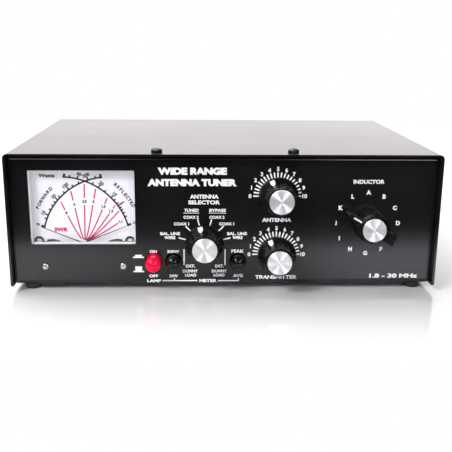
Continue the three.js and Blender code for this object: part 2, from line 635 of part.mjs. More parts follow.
function makeGroundStud() {
  const r = GROUND.stud;
  const profile = [
    [0, REAR_INNER - 3], [4, REAR_INNER - 3], [4, REAR_INNER - REST], [r, REAR_INNER - REST],
    [r, REAR + GROUND.length], [0, REAR + GROUND.length],
  ];
  const nut = rodAlongY(0, 0, REAR + REST, WASHER_SEAT - REST, 4, 6);
  return placed(part("ground_stud", turned(profile, 16).add(nut), "nickel"), GROUND.x, GROUND.z);
}

function makeGroundWasher() {
  const [inner, outer, back, front] = [GROUND.stud + GAP, 5, WASHER_SEAT, WASHER_SEAT + 0.8];
  const profile = [[inner, back], [outer, back], [outer, front], [inner, front], [inner, back]];
  return placed(part("ground_washer", turned(profile, 16), "nickel"), GROUND.x, GROUND.z);
}

/** A wing nut: a tapered hub with two wings that lean out and rise behind it. */
function makeWingNut() {
  const seat = WASHER_SEAT + 0.8 + REST;
  const hub = turned([[0, seat], [4, seat], [3, seat + 4], [0, seat + 4]], 16);
  const wings = [-1, 1].map((side) => {
    const edge = [[2, 0.4], [3.6, 0.4], [9, 4], [9, 6.6], [7.2, 7.4], [2, 3.4]];
    const wing = polygon(edge.map(([x, y]) => [side * x, seat + y]));
    return solid(new THREE.ExtrudeGeometry(wing, { depth: 1.6, bevelEnabled: false }).translate(0, 0, -0.8));
  });
  const bore = rodAlongY(0, 0, seat - 1, seat + 9, GROUND.stud + GAP, 16);
  const nut = joined([hub, ...wings]).subtract(bore);
  return placed(part("ground_wing_nut", nut, "nickel"), GROUND.x, GROUND.z);
}

/** A barrel power jack with its centre pin. */
function makePowerJack() {
  const seat = REAR + REST;
  const r = JACK.radius;
  const profile = [
    [0, REAR - 15], [r, REAR - 15], [r, seat], [5.5, seat], [5.5, seat + 1.6], [2.9, seat + 1.6],
    [2.9, REAR - 8], [1, REAR - 8], [1, seat + 0.6], [0, seat + 0.6],
  ];
  return placed(part("power_jack", turned(profile, 16), "blackPlastic"), JACK.x, JACK.z);
}

// ---- The whole tuner -----------------------------------------------------------------------------------

const tuner = new THREE.Group();

tuner.add(makeChassis(), makeCover(), coverScrew(-1), coverScrew(1));
tuner.add(...CORNERS.map(([end, side]) => foot(end, side)));

tuner.add(makeMeterCase(), makeMeterWindow(), makeMeterScale(), ...needles(), makeMeterLamp());
tuner.add(movement("forward_movement", 1), movement("reflected_movement", -1));
tuner.add(meterScrew(-1), meterScrew(1));

const PROUD_OUT = 11.4;
const PROUD_IN = PROUD_OUT - BUTTON.travel;
tuner.add(button("lamp_button", LAMP_X, PROUD_OUT, "redPlastic"), pushSwitch("lamp_switch", LAMP_X));
tuner.add(button("power_button", POWER_X, PROUD_IN, "blackPlastic"), pushSwitch("power_switch", POWER_X));
tuner.add(button("peak_button", PEAK_X, PROUD_IN, "blackPlastic"), pushSwitch("peak_switch", PEAK_X));
tuner.add(makeMeterBoard(), toroid("pickup_toroid", 5, 9, 7, { x: -42, y: 50, z: 15.2, standing: true }));

for (const [name, at] of [["antenna", ANTENNA], ["transmitter", TRANSMITTER]]) {
  tuner.add(capacitorFrame(`${name}_capacitor_frame`, at), capacitorStator(`${name}_capacitor_stator`, at));
  tuner.add(turning(at, [
    capacitorRotor(`${name}_capacitor_rotor`),
    roundKnob(`${name}_knob`),
    knobCap(`${name}_knob_cap`, KNOB.height, CAP.radius),
  ]));
}

tuner.add(rotarySwitch("selector_switch", SELECTOR, SELECTOR_SWITCH));
tuner.add(turning(SELECTOR, [
  switchShaft("selector_shaft", SELECTOR_SWITCH.waferYs),
  roundKnob("selector_knob"),
  knobCap("selector_knob_cap", KNOB.height, CAP.radius),
]));

tuner.add(rotarySwitch("inductor_switch", INDUCTOR, INDUCTOR_SWITCH));
tuner.add(turning(INDUCTOR, [
  switchShaft("inductor_shaft", INDUCTOR_SWITCH.waferYs),
  barKnob("inductor_knob"),
  knobCap("inductor_knob_cap", BAR.height, BAR.cap),
]));

tuner.add(makeCoil(), makeCoilFormer());
tuner.add(toroid("low_band_toroid", 8, 19, 12, { x: -16, y: 112, z: FLOOR + 7, standing: false }));
tuner.add(toroid("balun_toroid", 12, 27, 14, { x: -86, y: 108, z: FLOOR + 8, standing: false }));

tuner.add(...Object.entries(SOCKET_XS).map(([name, x]) => coaxSocket(`${name}_socket`, x)));
tuner.add(insulatedPost("wire_post", POST.wireX));
tuner.add(...POST.balancedX.map((x, i) => insulatedPost(`balanced_post_${i + 1}`, x)));
tuner.add(makeGroundStud(), makeGroundWasher(), makeWingNut(), makePowerJack());

const frontReach = PANEL - KNOB.height;
const rearReach = REAR + SOCKET.length;
tuner.position.set(0, -(frontReach + rearReach) / 2, FOOT.height);

const object = new THREE.Group();
object.add(tuner);
export default object;
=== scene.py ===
"""Desk-top antenna tuner: the finished surfaces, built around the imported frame.

Every piece is built in case millimetres (X = 0 in the middle, Y = 0 at the cover's front edge with +Y
towards the back, Z = 0 at the bottom of the cover's sides) and moved into the frame, in metres, at the end.
"""

import json
import math

import bmesh
import bpy
from mathutils import Matrix, Vector


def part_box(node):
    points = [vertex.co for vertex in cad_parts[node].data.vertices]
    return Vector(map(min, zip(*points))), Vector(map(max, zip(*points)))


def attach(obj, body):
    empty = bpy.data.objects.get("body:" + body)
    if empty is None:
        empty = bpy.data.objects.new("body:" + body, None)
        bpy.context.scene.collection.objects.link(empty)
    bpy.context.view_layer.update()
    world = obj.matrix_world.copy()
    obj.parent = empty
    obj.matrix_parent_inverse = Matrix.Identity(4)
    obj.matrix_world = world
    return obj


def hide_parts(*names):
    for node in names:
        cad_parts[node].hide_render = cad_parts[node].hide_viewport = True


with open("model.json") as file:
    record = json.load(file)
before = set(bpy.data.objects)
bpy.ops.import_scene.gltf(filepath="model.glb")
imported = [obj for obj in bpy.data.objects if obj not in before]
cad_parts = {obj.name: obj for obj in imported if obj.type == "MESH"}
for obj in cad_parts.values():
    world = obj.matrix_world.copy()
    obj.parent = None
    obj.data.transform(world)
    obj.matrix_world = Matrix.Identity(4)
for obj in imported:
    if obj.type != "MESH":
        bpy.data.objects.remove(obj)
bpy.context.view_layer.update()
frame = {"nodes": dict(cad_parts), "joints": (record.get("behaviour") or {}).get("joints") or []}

# ---- The case's own millimetres ----

MM = 0.001
COVER_LOW, COVER_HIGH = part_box("top_cover")
TO_FRAME = Matrix.Translation((0, COVER_LOW.y, COVER_LOW.z)) @ Matrix.Diagonal((MM, MM, MM, 1))


def span(node):
    """The lowest and highest corner of a CAD node, in case millimetres."""
    low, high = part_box(node)
    back = TO_FRAME.inverted()
    return back @ low, back @ high


def pivot_of(body):
    """Where a turning body's axis stands on the panel, as (x, z)."""
    joint = next(j for j in frame["joints"] if j["child"] == body)
    point = TO_FRAME.inverted() @ Vector(joint["pos_m"])
    return point.x, point.z


CASE_LOW, CASE_HIGH = span("top_cover")
CHASSIS_LOW, CHASSIS_HIGH = span("chassis")
HALF_WIDTH = CASE_HIGH.x
DEPTH = CASE_HIGH.y
HEIGHT = CASE_HIGH.z
PANEL = CHASSIS_LOW.y
REAR = CHASSIS_HIGH.y
SHEET = 1.4
BEND = 3.0
LIP = 15.0
LIP_TOP = CHASSIS_HIGH.z
PANEL_BACK = PANEL + SHEET
PRINT = 0.05  # how far printed lettering stands off its face

TINY = 1e-6  # the radius of a ring that is drawn to a point

# ---- Mesh helpers ----


def arc(centre_a, centre_b, radius, start, end, steps=10):
    """Points round a corner, from one angle to another, in degrees from the first axis."""
    angles = [math.radians(start + (end - start) * i / steps) for i in range(steps + 1)]
    return [(centre_a + radius * math.cos(t), centre_b + radius * math.sin(t)) for t in angles]


def rounded_rectangle(left, right, low, high, radius, steps=8):
    corners = [(right - radius, low + radius, -90), (right - radius, high - radius, 0),
               (left + radius, high - radius, 90), (left + radius, low + radius, 180)]
    return [p for a, b, start in corners for p in arc(a, b, radius, start, start + 90, steps)]


def finish_solid(bm):
    bmesh.ops.remove_doubles(bm, verts=bm.verts, dist=1e-4)
    bmesh.ops.recalc_face_normals(bm, faces=bm.faces)
    return bm


def prism(outline, low, high, axis="Y"):
    """An outline extruded along an axis. It is given as (x, z) for Y, (y, z) for X and (x, y) for Z."""
    place = {
        "X": lambda a, b, t: (t, a, b),
        "Y": lambda a, b, t: (a, t, b),
        "Z": lambda a, b, t: (a, b, t),
    }[axis]
    bm = bmesh.new()
    rows = [[bm.verts.new(place(a, b, t)) for a, b in outline] for t in (low, high)]
    for row in rows:
        bm.faces.new(row)
    count = len(outline)
    for i in range(count):
        j = (i + 1) % count
        bm.faces.new((rows[0][i], rows[0][j], rows[1][j], rows[1][i]))
    return finish_solid(bm)


def block(x0, x1, y0, y1, z0, z1):
    return prism([(x0, z0), (x1, z0), (x1, z1), (x0, z1)], y0, y1)


def loft(rings):
    """A closed solid through rings of points. A ring drawn to a single point closes the end."""
    bm = bmesh.new()
    rows = [[bm.verts.new(p) for p in ring] for ring in rings]
    count = len(rows[0])
    for a, b in zip(rows, rows[1:]):
        for i in range(count):
            j = (i + 1) % count
            bm.faces.new((a[i], a[j], b[j], b[i]))
    for row in (rows[0], rows[-1]):
        bm.faces.new(row)
    bmesh.ops.remove_doubles(bm, verts=bm.verts, dist=1e-4)
    loose = [f for f in bm.faces if f.calc_area() < 1e-9]
    bmesh.ops.delete(bm, geom=loose, context="FACES_ONLY")
    return finish_solid(bm)


def ring(radius_at, y, count):
    """Points round the Y axis. Angles run clockwise from +Z, seen from the front."""
    turns = [2 * math.pi * i / count for i in range(count)]
    return [(radius_at(t) * math.sin(t), y, radius_at(t) * math.cos(t)) for t in turns]


def turned(profile, count=48):
    """A solid of revolution about the Y axis, from [radius, y] points that start and end on the axis."""
    return loft([ring(lambda t, r=r: max(r, TINY), y, count) for r, y in profile])


def moved(bm, matrix):
    bm.transform(matrix)
    return bm


def rotated(bm, degrees, axis):
    return moved(bm, Matrix.Rotation(math.radians(degrees), 4, axis))


def shifted(bm, x=0, y=0, z=0):
    return moved(bm, Matrix.Translation((x, y, z)))


def turned_to(bm, degrees, x, z):
    """A piece built round the Y axis with its index up, turned clockwise and stood at (x, z)."""
    return moved(bm, Matrix.Translation((x, 0, z)) @ Matrix.Rotation(math.radians(degrees), 4, "Y"))


def joined(parts):
    """Several closed solids as one mesh."""
    mesh = bpy.data.meshes.new("parts")
    whole = bmesh.new()
    for bm in parts:
        bm.to_mesh(mesh)
        whole.from_mesh(mesh)
        bm.free()
    bpy.data.meshes.remove(mesh)
    return whole


def scratch_object(bm):
    mesh = bpy.data.meshes.new("scratch")
    bm.to_mesh(mesh)
    bm.free()
    obj = bpy.data.objects.new("scratch", mesh)
    bpy.context.scene.collection.objects.link(obj)
    return obj


def combined(bm, others, operation):
    """The solid after a boolean with each of the others."""
    target = scratch_object(bm)
    tools = [scratch_object(other) for other in others]
    for tool in tools:
        modifier = target.modifiers.new("cut", "BOOLEAN")
        modifier.operation = operation
        modifier.solver = "EXACT"
        modifier.object = tool
    graph = bpy.context.evaluated_depsgraph_get()
    mesh = bpy.data.meshes.new_from_object(target.evaluated_get(graph))
    result = bmesh.new()
    result.from_mesh(mesh)
    for obj in [target, *tools]:
        data = obj.data
        bpy.data.objects.remove(obj)
        bpy.data.meshes.remove(data)
    bpy.data.meshes.remove(mesh)
    return result


def cut(bm, tools):
    return combined(bm, tools, "DIFFERENCE")


def bevelled(bm, width, degrees=50, segments=2):
    """Every edge sharper than an angle, rounded by a small width."""
    limit = math.radians(degrees)
    edges = [e for e in bm.edges if len(e.link_faces) == 2 and e.calc_face_angle() > limit]
    bmesh.ops.bevel(bm, geom=edges, offset=width, segments=segments, profile=0.5, affect="EDGES",
                    clamp_overlap=True)
    return bm


def piece(name, bm, finish, body="root", replaces=(), sharp=35):
    """Moves a finished solid into the frame as a named piece that rides on a body."""
    bm.transform(TO_FRAME)
    limit = math.radians(sharp)
    for face in bm.faces:
        face.smooth = True
    for edge in bm.edges:
        edge.smooth = len(edge.link_faces) == 2 and edge.calc_face_angle(0) < limit
    mesh = bpy.data.meshes.new(name)
    bm.to_mesh(mesh)
    bm.free()
    mesh.materials.append(MATERIALS[finish])
    obj = bpy.data.objects.new(name, mesh)
    bpy.context.scene.collection.objects.link(obj)
    modifier = obj.modifiers.new("even_normals", "WEIGHTED_NORMAL")
    modifier.keep_sharp = True
    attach(obj, body)
    if replaces:
        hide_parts(*replaces)


# ---- Printed marks ----


def text_solid(words, bold):
    """Words as a thin solid in X and Z that faces the front, at about 10 units high."""
    curve = bpy.data.curves.new("words", "FONT")
    curve.body = words
    curve.size = 10
    curve.offset = bold
    curve.extrude = 0.5
    curve.resolution_u = 4
    obj = bpy.data.objects.new("words", curve)
    bpy.context.scene.collection.objects.link(obj)
    graph = bpy.context.evaluated_depsgraph_get()
    mesh = bpy.data.meshes.new_from_object(obj.evaluated_get(graph))
    bm = bmesh.new()
    bm.from_mesh(mesh)
    bpy.data.objects.remove(obj)
    bpy.data.curves.remove(curve)
    bpy.data.meshes.remove(mesh)
    bmesh.ops.remove_doubles(bm, verts=bm.verts, dist=1e-3)
    return rotated(bm, 90, "X")


def extent(bm):
    """The lowest and highest corner of a solid."""
    columns = list(zip(*(v.co for v in bm.verts)))
    return [min(column) for column in columns], [max(column) for column in columns]


def lettering(words, left, right, low, high, face, bold):
    """Words fitted between two X values and two Z values on a face at that Y."""
    bm = text_solid(words, bold)
    (x0, y0, z0), (x1, y1, z1) = extent(bm)
    size = Matrix.Diagonal(((right - left) / (x1 - x0), PRINT / (y1 - y0), (high - low) / (z1 - z0), 1))
    place = Matrix.Translation((left, face - PRINT, low))
    return moved(bm, place @ size @ Matrix.Translation((-x0, -y0, -z0)))


def centred_lettering(words, x, z, height, face, bold, turn=0.0):
    """Words of a given height, centred on a point and turned clockwise about it."""
    bm = text_solid(words, bold)
    (x0, y0, z0), (x1, y1, z1) = extent(bm)
    scale = height / (z1 - z0)
    middle = Matrix.Translation((-(x0 + x1) / 2, -y1, -(z0 + z1) / 2))
    size = Matrix.Diagonal((scale, PRINT / (y1 - y0), scale, 1))
    place = Matrix.Translation((x, face, z)) @ Matrix.Rotation(math.radians(turn), 4, "Y")
    return moved(bm, place @ size @ middle)


def line(points, width, face):
    """A printed line of even width through (x, z) points."""
    count = len(points)
    rings = []
    for i, (x, z) in enumerate(points):
        ax, az = points[max(i - 1, 0)]
        bx, bz = points[min(i + 1, count - 1)]
        length = math.hypot(bx - ax, bz - az)
        nx, nz = -(bz - az) / length * width / 2, (bx - ax) / length * width / 2
        rings.append([(x + nx, face - PRINT, z + nz), (x - nx, face - PRINT, z - nz),
                      (x - nx, face, z - nz), (x + nx, face, z + nz)])
    return loft(rings)


def polar(x, z, radius, degrees):
    """A point at a distance from a centre. The angle runs clockwise from straight up."""
    t = math.radians(degrees)
    return x + radius * math.sin(t), z + radius * math.cos(t)


# ---- Materials ----

MATERIALS = {}  # every finish, by its name
# The values of a noise pattern between which colour and roughness change.
COLOUR_SPREAD = (0.35, 0.65)
ROUGHNESS_SPREAD = (0.3, 0.7)


def new_node(nodes, kind, **inputs):
    """A shader node, with some of its inputs set. Underscores in their names stand for spaces."""
    node = nodes.new(f"ShaderNode{kind}")
    for name, value in inputs.items():
        node.inputs[name.replace("_", " ")].default_value = value
    return node


class Finish:
    """A Principled material whose colour, roughness and bump come from small procedural patterns."""

    def __init__(self, name, **sockets):
        self.material = bpy.data.materials.new(name)
        MATERIALS[name] = self.material
        self.material.use_nodes = True
        self.nodes = self.material.node_tree.nodes
        self.links = self.material.node_tree.links
        self.shader = self.nodes["Principled BSDF"]
        for socket, value in sockets.items():
            self.shader.inputs[socket.replace("_", " ")].default_value = value
        self.coordinates = new_node(self.nodes, "TexCoord")

    def noise(self, size, detail=3.0):
        """Noise whose features are about `size` metres across, in the piece's own space."""
        noise = new_node(self.nodes, "TexNoise", Scale=1 / size, Detail=detail)
        self.links.new(self.coordinates.outputs["Object"], noise.inputs["Vector"])
        return noise.outputs["Fac"]

    def colour(self, pattern, low, high):
        ramp = new_node(self.nodes, "ValToRGB")
        first, last = ramp.color_ramp.elements
        first.position, last.position = COLOUR_SPREAD
        first.color = (*low, 1)
        last.color = (*high, 1)
        self.links.new(pattern, ramp.inputs["Fac"])
        self.links.new(ramp.outputs["Color"], self.shader.inputs["Base Color"])

    def roughness(self, pattern, low, high):
        start, end = ROUGHNESS_SPREAD
        spread = new_node(self.nodes, "MapRange", From_Min=start, From_Max=end, To_Min=low, To_Max=high)
        self.links.new(pattern, spread.inputs["Value"])
        self.links.new(spread.outputs["Result"], self.shader.inputs["Roughness"])

    def bump(self, pattern, depth, strength):
        bump = new_node(self.nodes, "Bump", Strength=strength, Distance=depth)
        self.links.new(pattern, bump.inputs["Height"])
        self.links.new(bump.outputs["Normal"], self.shader.inputs["Normal"])


def grey(value, tint=(1, 1, 1)):
    return tuple(value * t for t in tint)


def case_paint():
    """Black baked enamel with a faint orange peel."""
    finish = Finish("case_paint", Specular_IOR_Level=0.5)
    finish.colour(finish.noise(0.03, 4), grey(0.004, (1, 1.05, 1.1)), grey(0.007, (1, 1.05, 1.1)))
    finish.roughness(finish.noise(0.09, 2), 0.19, 0.22)
    finish.bump(finish.noise(0.0008, 2), 0.00002, 0.25)


def plastic(name, low, high, rough=(0.3, 0.4), grain=0.0006, depth=0.00001, **sockets):
    """Moulded plastic: slight mottling, uneven gloss and a fine grain."""
    finish = Finish(name, **sockets)
    finish.colour(finish.noise(0.006, 3), low, high)
    finish.roughness(finish.noise(0.003, 4), *rough)
    finish.bump(finish.noise(grain, 2), depth, 0.5)


def plated_metal(name, low, high, rough=(0.2, 0.32), depth=0.00001):
    """Plated or machined metal with faint staining."""
    finish = Finish(name, Metallic=1.0)
    finish.colour(finish.noise(0.004, 5), low, high)
    finish.roughness(finish.noise(0.0015, 4), *rough)
    finish.bump(finish.noise(0.0005, 3), depth, 0.4)


def spun_aluminium():
    """Lathe-turned aluminium: fine rings round each disc's own axis stretch the highlights into a fan."""
    finish = Finish("spun_aluminium", Metallic=0.65, Anisotropic=1.0, Anisotropic_Rotation=0.25)
    nodes, links = finish.nodes, finish.links
    centre = new_node(nodes, "VectorMath")
    centre.operation = "SUBTRACT"
    centre.inputs[1].default_value = (0.5, 0.5, 0.5)
    links.new(finish.coordinates.outputs["Generated"], centre.inputs[0])
    flatten = new_node(nodes, "VectorMath")
    flatten.operation = "MULTIPLY"
    flatten.inputs[1].default_value = (1, 0, 1)
    links.new(centre.outputs["Vector"], flatten.inputs[0])
    radius = new_node(nodes, "VectorMath")
    radius.operation = "LENGTH"
    links.new(flatten.outputs["Vector"], radius.inputs[0])
    rings = new_node(nodes, "TexNoise", Scale=90, Detail=3)
    rings.noise_dimensions = "1D"
    links.new(radius.outputs["Value"], rings.inputs["W"])
    finish.colour(rings.outputs["Fac"], grey(0.88), grey(0.96, (1, 0.985, 0.99)))
    finish.roughness(rings.outputs["Fac"], 0.42, 0.5)
    finish.bump(rings.outputs["Fac"], 0.00001, 0.35)
    tangent = new_node(nodes, "Tangent")
    tangent.direction_type = "RADIAL"
    tangent.axis = "Y"
    links.new(tangent.outputs["Tangent"], finish.shader.inputs["Tangent"])


def paper():
    """The meter's pale printed card, with a painted glow of its own that lifts the shade the window's edges
    cast on it.
    """
    # The emission is painted light, not a lamp behind the card: it brightens the shaded left and top of the
    # card.
    finish = Finish("scale_print", Emission_Color=(1, 0.955, 1, 1), Emission_Strength=0.17)
    finish.colour(finish.noise(0.01, 4), (0.66, 0.64, 0.68), (0.71, 0.69, 0.73))
    finish.roughness(finish.noise(0.002, 3), 0.5, 0.6)
    finish.bump(finish.noise(0.0003, 3), 0.000005, 0.3)


def ink(name, low, high, gloss=0.5):
    """Printed ink, slightly uneven."""
    finish = Finish(name, Specular_IOR_Level=gloss)
    finish.colour(finish.noise(0.0012, 4), low, high)
    finish.roughness(finish.noise(0.001, 3), 0.45, 0.6)


def clear_plastic(name, alpha):
    """Clear acrylic as a thin see-through skin with a gloss of its own."""
    finish = Finish(name, Alpha=alpha, IOR=1.49)
    finish.colour(finish.noise(0.02, 2), (0.86, 0.88, 0.92), (0.94, 0.95, 0.98))
    finish.roughness(finish.noise(0.01, 4), 0.03, 0.08)


def make_materials():
    case_paint()
    ink("white_print", grey(0.84), grey(0.93))
    ink("black_ink", grey(0.003), grey(0.008), 0.2)
    ink("red_ink", (0.50, 0.001, 0.075), (0.58, 0.003, 0.10), 0.2)
    plated_metal("black_screws", grey(0.02), grey(0.045), (0.3, 0.42))
    plastic("rubber", grey(0.012), grey(0.024), (0.75, 0.9), 0.0004, 0.00003)
    plastic("white_plastic", grey(0.68), grey(0.78))
    clear_plastic("clear_plastic", 0.018)
    clear_plastic("lens_edge", 0.5)
    clear_plastic("bulb_glass", 0.35)
    paper()
    plastic("needle_paint", grey(0.01), grey(0.02), (0.4, 0.5))
    plated_metal("cast_aluminium", grey(0.5), grey(0.62), (0.4, 0.55), 0.00003)
    plated_metal("plate_aluminium", grey(0.66), grey(0.76), (0.28, 0.4))
    plated_metal("nickel", (0.62, 0.59, 0.52), (0.74, 0.71, 0.64), (0.2, 0.26), 0.000003)
    plated_metal("brass", (0.62, 0.45, 0.2), (0.72, 0.55, 0.28))
    # The lamp button's red plastic carries a painted glow in its emission, which evens out the shading of its
    # dome.
    plastic("lamp_red", (0.60, 0.001, 0.028), (0.72, 0.003, 0.045), (0.05, 0.07), 0.002, 0.000001,
            Specular_IOR_Level=0.2, Emission_Color=(1, 0.01, 0.06, 1), Emission_Strength=0.2)
    plastic("button_black", grey(0.004), grey(0.007), (0.05, 0.07), 0.002, 0.000001,
            Specular_IOR_Level=0.3)
    plastic("switch_black", grey(0.012), grey(0.02))
    plastic("circuit_board", (0.03, 0.13, 0.05), (0.05, 0.19, 0.07), (0.3, 0.45))
    plastic("ferrite", grey(0.03), grey(0.06), (0.5, 0.7), 0.0005, 0.00004)
    plastic("phenolic", (0.16, 0.06, 0.025), (0.24, 0.1, 0.04), (0.35, 0.5))
    plastic("knob_black", grey(0.003), grey(0.005), (0.24, 0.28), 0.002, 0.000002,
            Specular_IOR_Level=0.28)
    spun_aluminium()
    plated_metal("copper_wire", (0.72, 0.3, 0.14), (0.85, 0.42, 0.22), (0.22, 0.34))
    plastic("ceramic", (0.74, 0.7, 0.6), (0.84, 0.8, 0.72), (0.12, 0.22))
    plastic("ptfe", grey(0.7), grey(0.8), (0.35, 0.45))


# ---- Case ----

WINDOW_LOW, WINDOW_HIGH = span("meter_window")
WINDOW_GAP = 0.3
SHAFT_HOLE = 5.0
SCREW_HOLE = 1.5
BUTTON_HOLE = 5.5
FLANGE_TOP = 12.0
BUTTONS = {"lamp": "lamp_red", "power": "button_black", "peak": "button_black"}
KNOBS = {
    "antenna": "antenna_tuning", "transmitter": "transmitter_tuning",
    "selector": "selector", "inductor": "inductor",
}
METER_SCREWS = ["meter_screw_left", "meter_screw_right"]
SOCKETS = ["transmitter_socket", "coax_1_socket", "coax_2_socket", "dummy_load_socket"]
POSTS = ["wire_post", "balanced_post_1", "balanced_post_2"]
SIDE_SCREWS = {"front": 30.0, "rear": 150.0}  # how far back each stands
SIDE_SCREW_UP = 6.5
SIDE_SCREW_SEAT = 1.95  # depth of its seat below the cover's side
COVER_SCREW_HEAD = 2.4


def centre_of(node):
    low, high = span(node)
    return (low + high) / 2


def hole(x, z, radius, y0, y1):
    return shifted(turned([(0, y0), (radius, y0), (radius, y1), (0, y1)], 40), x, 0, z)


def holes_at(nodes, radius, y0, y1):
    """Hole tools along Y at the centres of some CAD nodes."""
    centres = [centre_of(node) for node in nodes]
    return [hole(at.x, at.z, radius, y0, y1) for at in centres]


def panel_openings():
    gap = WINDOW_GAP
    across = (WINDOW_LOW.x - gap, WINDOW_HIGH.x + gap)
    window = rounded_rectangle(*across, WINDOW_LOW.z - gap, WINDOW_HIGH.z + gap, 0.8)
    front = (PANEL - 1, PANEL_BACK + 1)
    tools = [prism(window, *front)]
    tools += [hole(*pivot_of(body), SHAFT_HOLE, *front) for body in KNOBS.values()]
    tools += holes_at([f"{name}_button" for name in BUTTONS], BUTTON_HOLE, *front)
    return tools + holes_at(METER_SCREWS, SCREW_HOLE, *front)


def rear_openings():
    rear = (REAR - 3, REAR + 1)
    tools = holes_at(SOCKETS, 7, *rear) + holes_at(POSTS, 4, *rear)
    return tools + holes_at(["ground_stud"], 2.4, *rear) + holes_at(["power_jack"], 4.3, *rear)


def folded_path(inset, radius):
    """The chassis sheet's outer or inner line in Y and Z, from the front lip round to the rear lip."""
    front, rear = PANEL + inset, REAR - inset
    low, high = inset, LIP_TOP - inset
    corners = [(front + radius, high - radius, 90), (front + radius, low + radius, 180),
               (rear - radius, low + radius, 270), (rear - radius, high - radius, 360)]
    path = [(PANEL + LIP, high)]
    for y, z, start in corners:
        path += arc(y, z, radius, start, start + 90, 10)
    return path + [(REAR - LIP, high)]


def build_chassis():
    half = CHASSIS_HIGH.x
    outline = folded_path(0, BEND) + folded_path(SHEET, BEND - SHEET)[::-1]
    sheet = prism(outline, -half, half, "X")
    corners = prism(rounded_rectangle(-half, half, -5, LIP_TOP, BEND - SHEET), 0, DEPTH)
    sheet = combined(sheet, [corners], "INTERSECT")
    flanges = [
        block(*sorted((side * half, side * (half - SHEET))), PANEL + LIP, REAR - LIP, SHEET / 2, FLANGE_TOP)
        for side in (-1, 1)
    ]
    sheet = combined(sheet, flanges, "UNION")
    sheet = cut(sheet, panel_openings() + rear_openings())
    piece("chassis_shell", sheet, "case_paint", replaces=["chassis"])


def arch_outline(half, top, radius):
    """The cover's section at one surface, from its lower left end up and over to its lower right end."""
    left = arc(-half + radius, top - radius, radius, 90, 180)
    right = arc(half - radius, top - radius, radius, 0, 90)
    return [(-half, 0), *reversed(left), *reversed(right), (half, 0)]


def side_screw_recess(side, y):
    """The round recess in the cover's side that keeps a screw's head below the face."""
    recess = rotated(turned([(0, -2), (3.3, -2), (3.3, 2), (0, 2)]), 90 * side, "Z")
    return shifted(recess, side * HALF_WIDTH, y, SIDE_SCREW_UP)


def build_cover():
    outer = arch_outline(HALF_WIDTH, HEIGHT, BEND)
    inner = arch_outline(HALF_WIDTH - SHEET, HEIGHT - SHEET, BEND - SHEET)
    shell = prism(outer + inner[::-1], 0, DEPTH)
    side_view = prism(rounded_rectangle(0, DEPTH, 0, HEIGHT + 20, 2), -HALF_WIDTH - 1, HALF_WIDTH + 1, "X")
    shell = bevelled(combined(shell, [side_view], "INTERSECT"), 0.4, 55, 3)
    shell = cut(shell, [side_screw_recess(side, y) for side in (-1, 1) for y in SIDE_SCREWS.values()])
    piece("cover_shell", shell, "case_paint", replaces=["top_cover"])


def pan_head(radius, height, shank, length, slot_width=0.8):
    """A slotted pan-head screw along Y, head towards -Y, seated at y = 0."""
    angles = [math.radians(a) for a in range(0, 90, 10)]
    dome = [(radius * math.cos(t), -height * (0.45 + 0.55 * math.sin(t))) for t in angles]
    profile = [(0, length), (shank, length), (shank, 0), (radius - 0.15, 0), (radius, -0.15), *dome]
    profile.append((0, -height))
    slot = block(-radius - 1, radius + 1, -height - 1, -height + 1.0, -slot_width / 2, slot_width / 2)
    return cut(turned(profile, 40), [slot])


def build_cover_screws():
    for side, slot_turn in (("left", 25), ("right", -40)):
        name = f"cover_screw_{side}"
        at = centre_of(name)
        seat = span(name)[1].z - COVER_SCREW_HEAD
        screw = rotated(pan_head(3.5, COVER_SCREW_HEAD, 1.3, 7), -90, "X")
        screw = shifted(rotated(screw, slot_turn, "Z"), at.x, at.y, seat)
        piece(f"{name}_slotted", screw, "black_screws", replaces=[name])


def build_side_screws():
    for side, word in ((-1, "left"), (1, "right")):
        for end, y in SIDE_SCREWS.items():
            screw = rotated(pan_head(2.9, 1.9, 1.2, 4, 0.7), 35 * side, "Y")
            screw = rotated(screw, 90 * side, "Z")
            screw = shifted(screw, side * (HALF_WIDTH - SIDE_SCREW_SEAT), y, SIDE_SCREW_UP)
            piece(f"side_screw_{end}_{word}", screw, "black_screws")


def build_feet():
    for name in [f"foot_{end}_{side}" for end in ("front", "rear") for side in ("left", "right")]:
        low, high = span(name)
        at = centre_of(name)
        height = high.z - low.z
        top = (high.x - low.x) / 2
        profile = [
            (0, 0), (top - 0.3, 0), (top, 0.25), (top - 0.15, 0.9), (4.6, height - 0.9), (4.4, height - 0.35),
            (4.0, height - 0.05), (3.6, height), (2.4, height), (2.0, height - 0.3), (1.8, height - 1.2),
            (0, height - 1.2),
        ]
        foot = rotated(turned([(r, -h) for r, h in profile]), 90, "X")
        piece(f"{name}_rubber", shifted(foot, at.x, at.y, high.z), "rubber", replaces=[name])


# ---- Meter ----

METER_X = (WINDOW_LOW.x + WINDOW_HIGH.x) / 2
FORWARD = pivot_of("forward_pointer")
REFLECTED = pivot_of("reflected_pointer")
NEEDLE_LENGTH = 57.0
NEEDLE_THICKNESS = 0.4
ARC_RADIUS = 42.9  # each printed arc is a circle of its own, centred a little way off its needle's pivot
ARC_CENTRES = {side: (METER_X + 1.5 - side * 15.1, 25.9) for side in (-1, 1)}
REST_ANGLE = 68.0  # a needle's lean from upright at zero
FULL_SWING = 52.5  # degrees from zero to the printed end
FORWARD_FULL = 300.0
REFLECTED_FULL = 60.0
FORWARD_NUMBERS = [0, 10, 50, 100, 200, 300]
REFLECTED_NUMBERS = [0, 5, 10, 20, 40, 60]
FORWARD_TICKS = [5, 10, 20, 30, 40, 50, 60, 80, 100, 120, 150, 200, 250]
REFLECTED_TICKS = [1, 2, 3, 4, 5, 6, 8, 10, 15, 20, 25, 30, 40, 50]
RESPONSE = 0.55  # deflection goes with power to this exponent
SCALE_LOW, SCALE_HIGH = span("meter_scale")
SCALE_FACE = SCALE_LOW.y
SCALE_TOP = 71.6  # numbers above this would run off the window
ARC_WIDTH = 1.05
TICK_WIDTH = 0.95
END_TICK_WIDTH = 1.5
NUMBER_HEIGHT = 2.4
SWR_WIDTH = 0.8
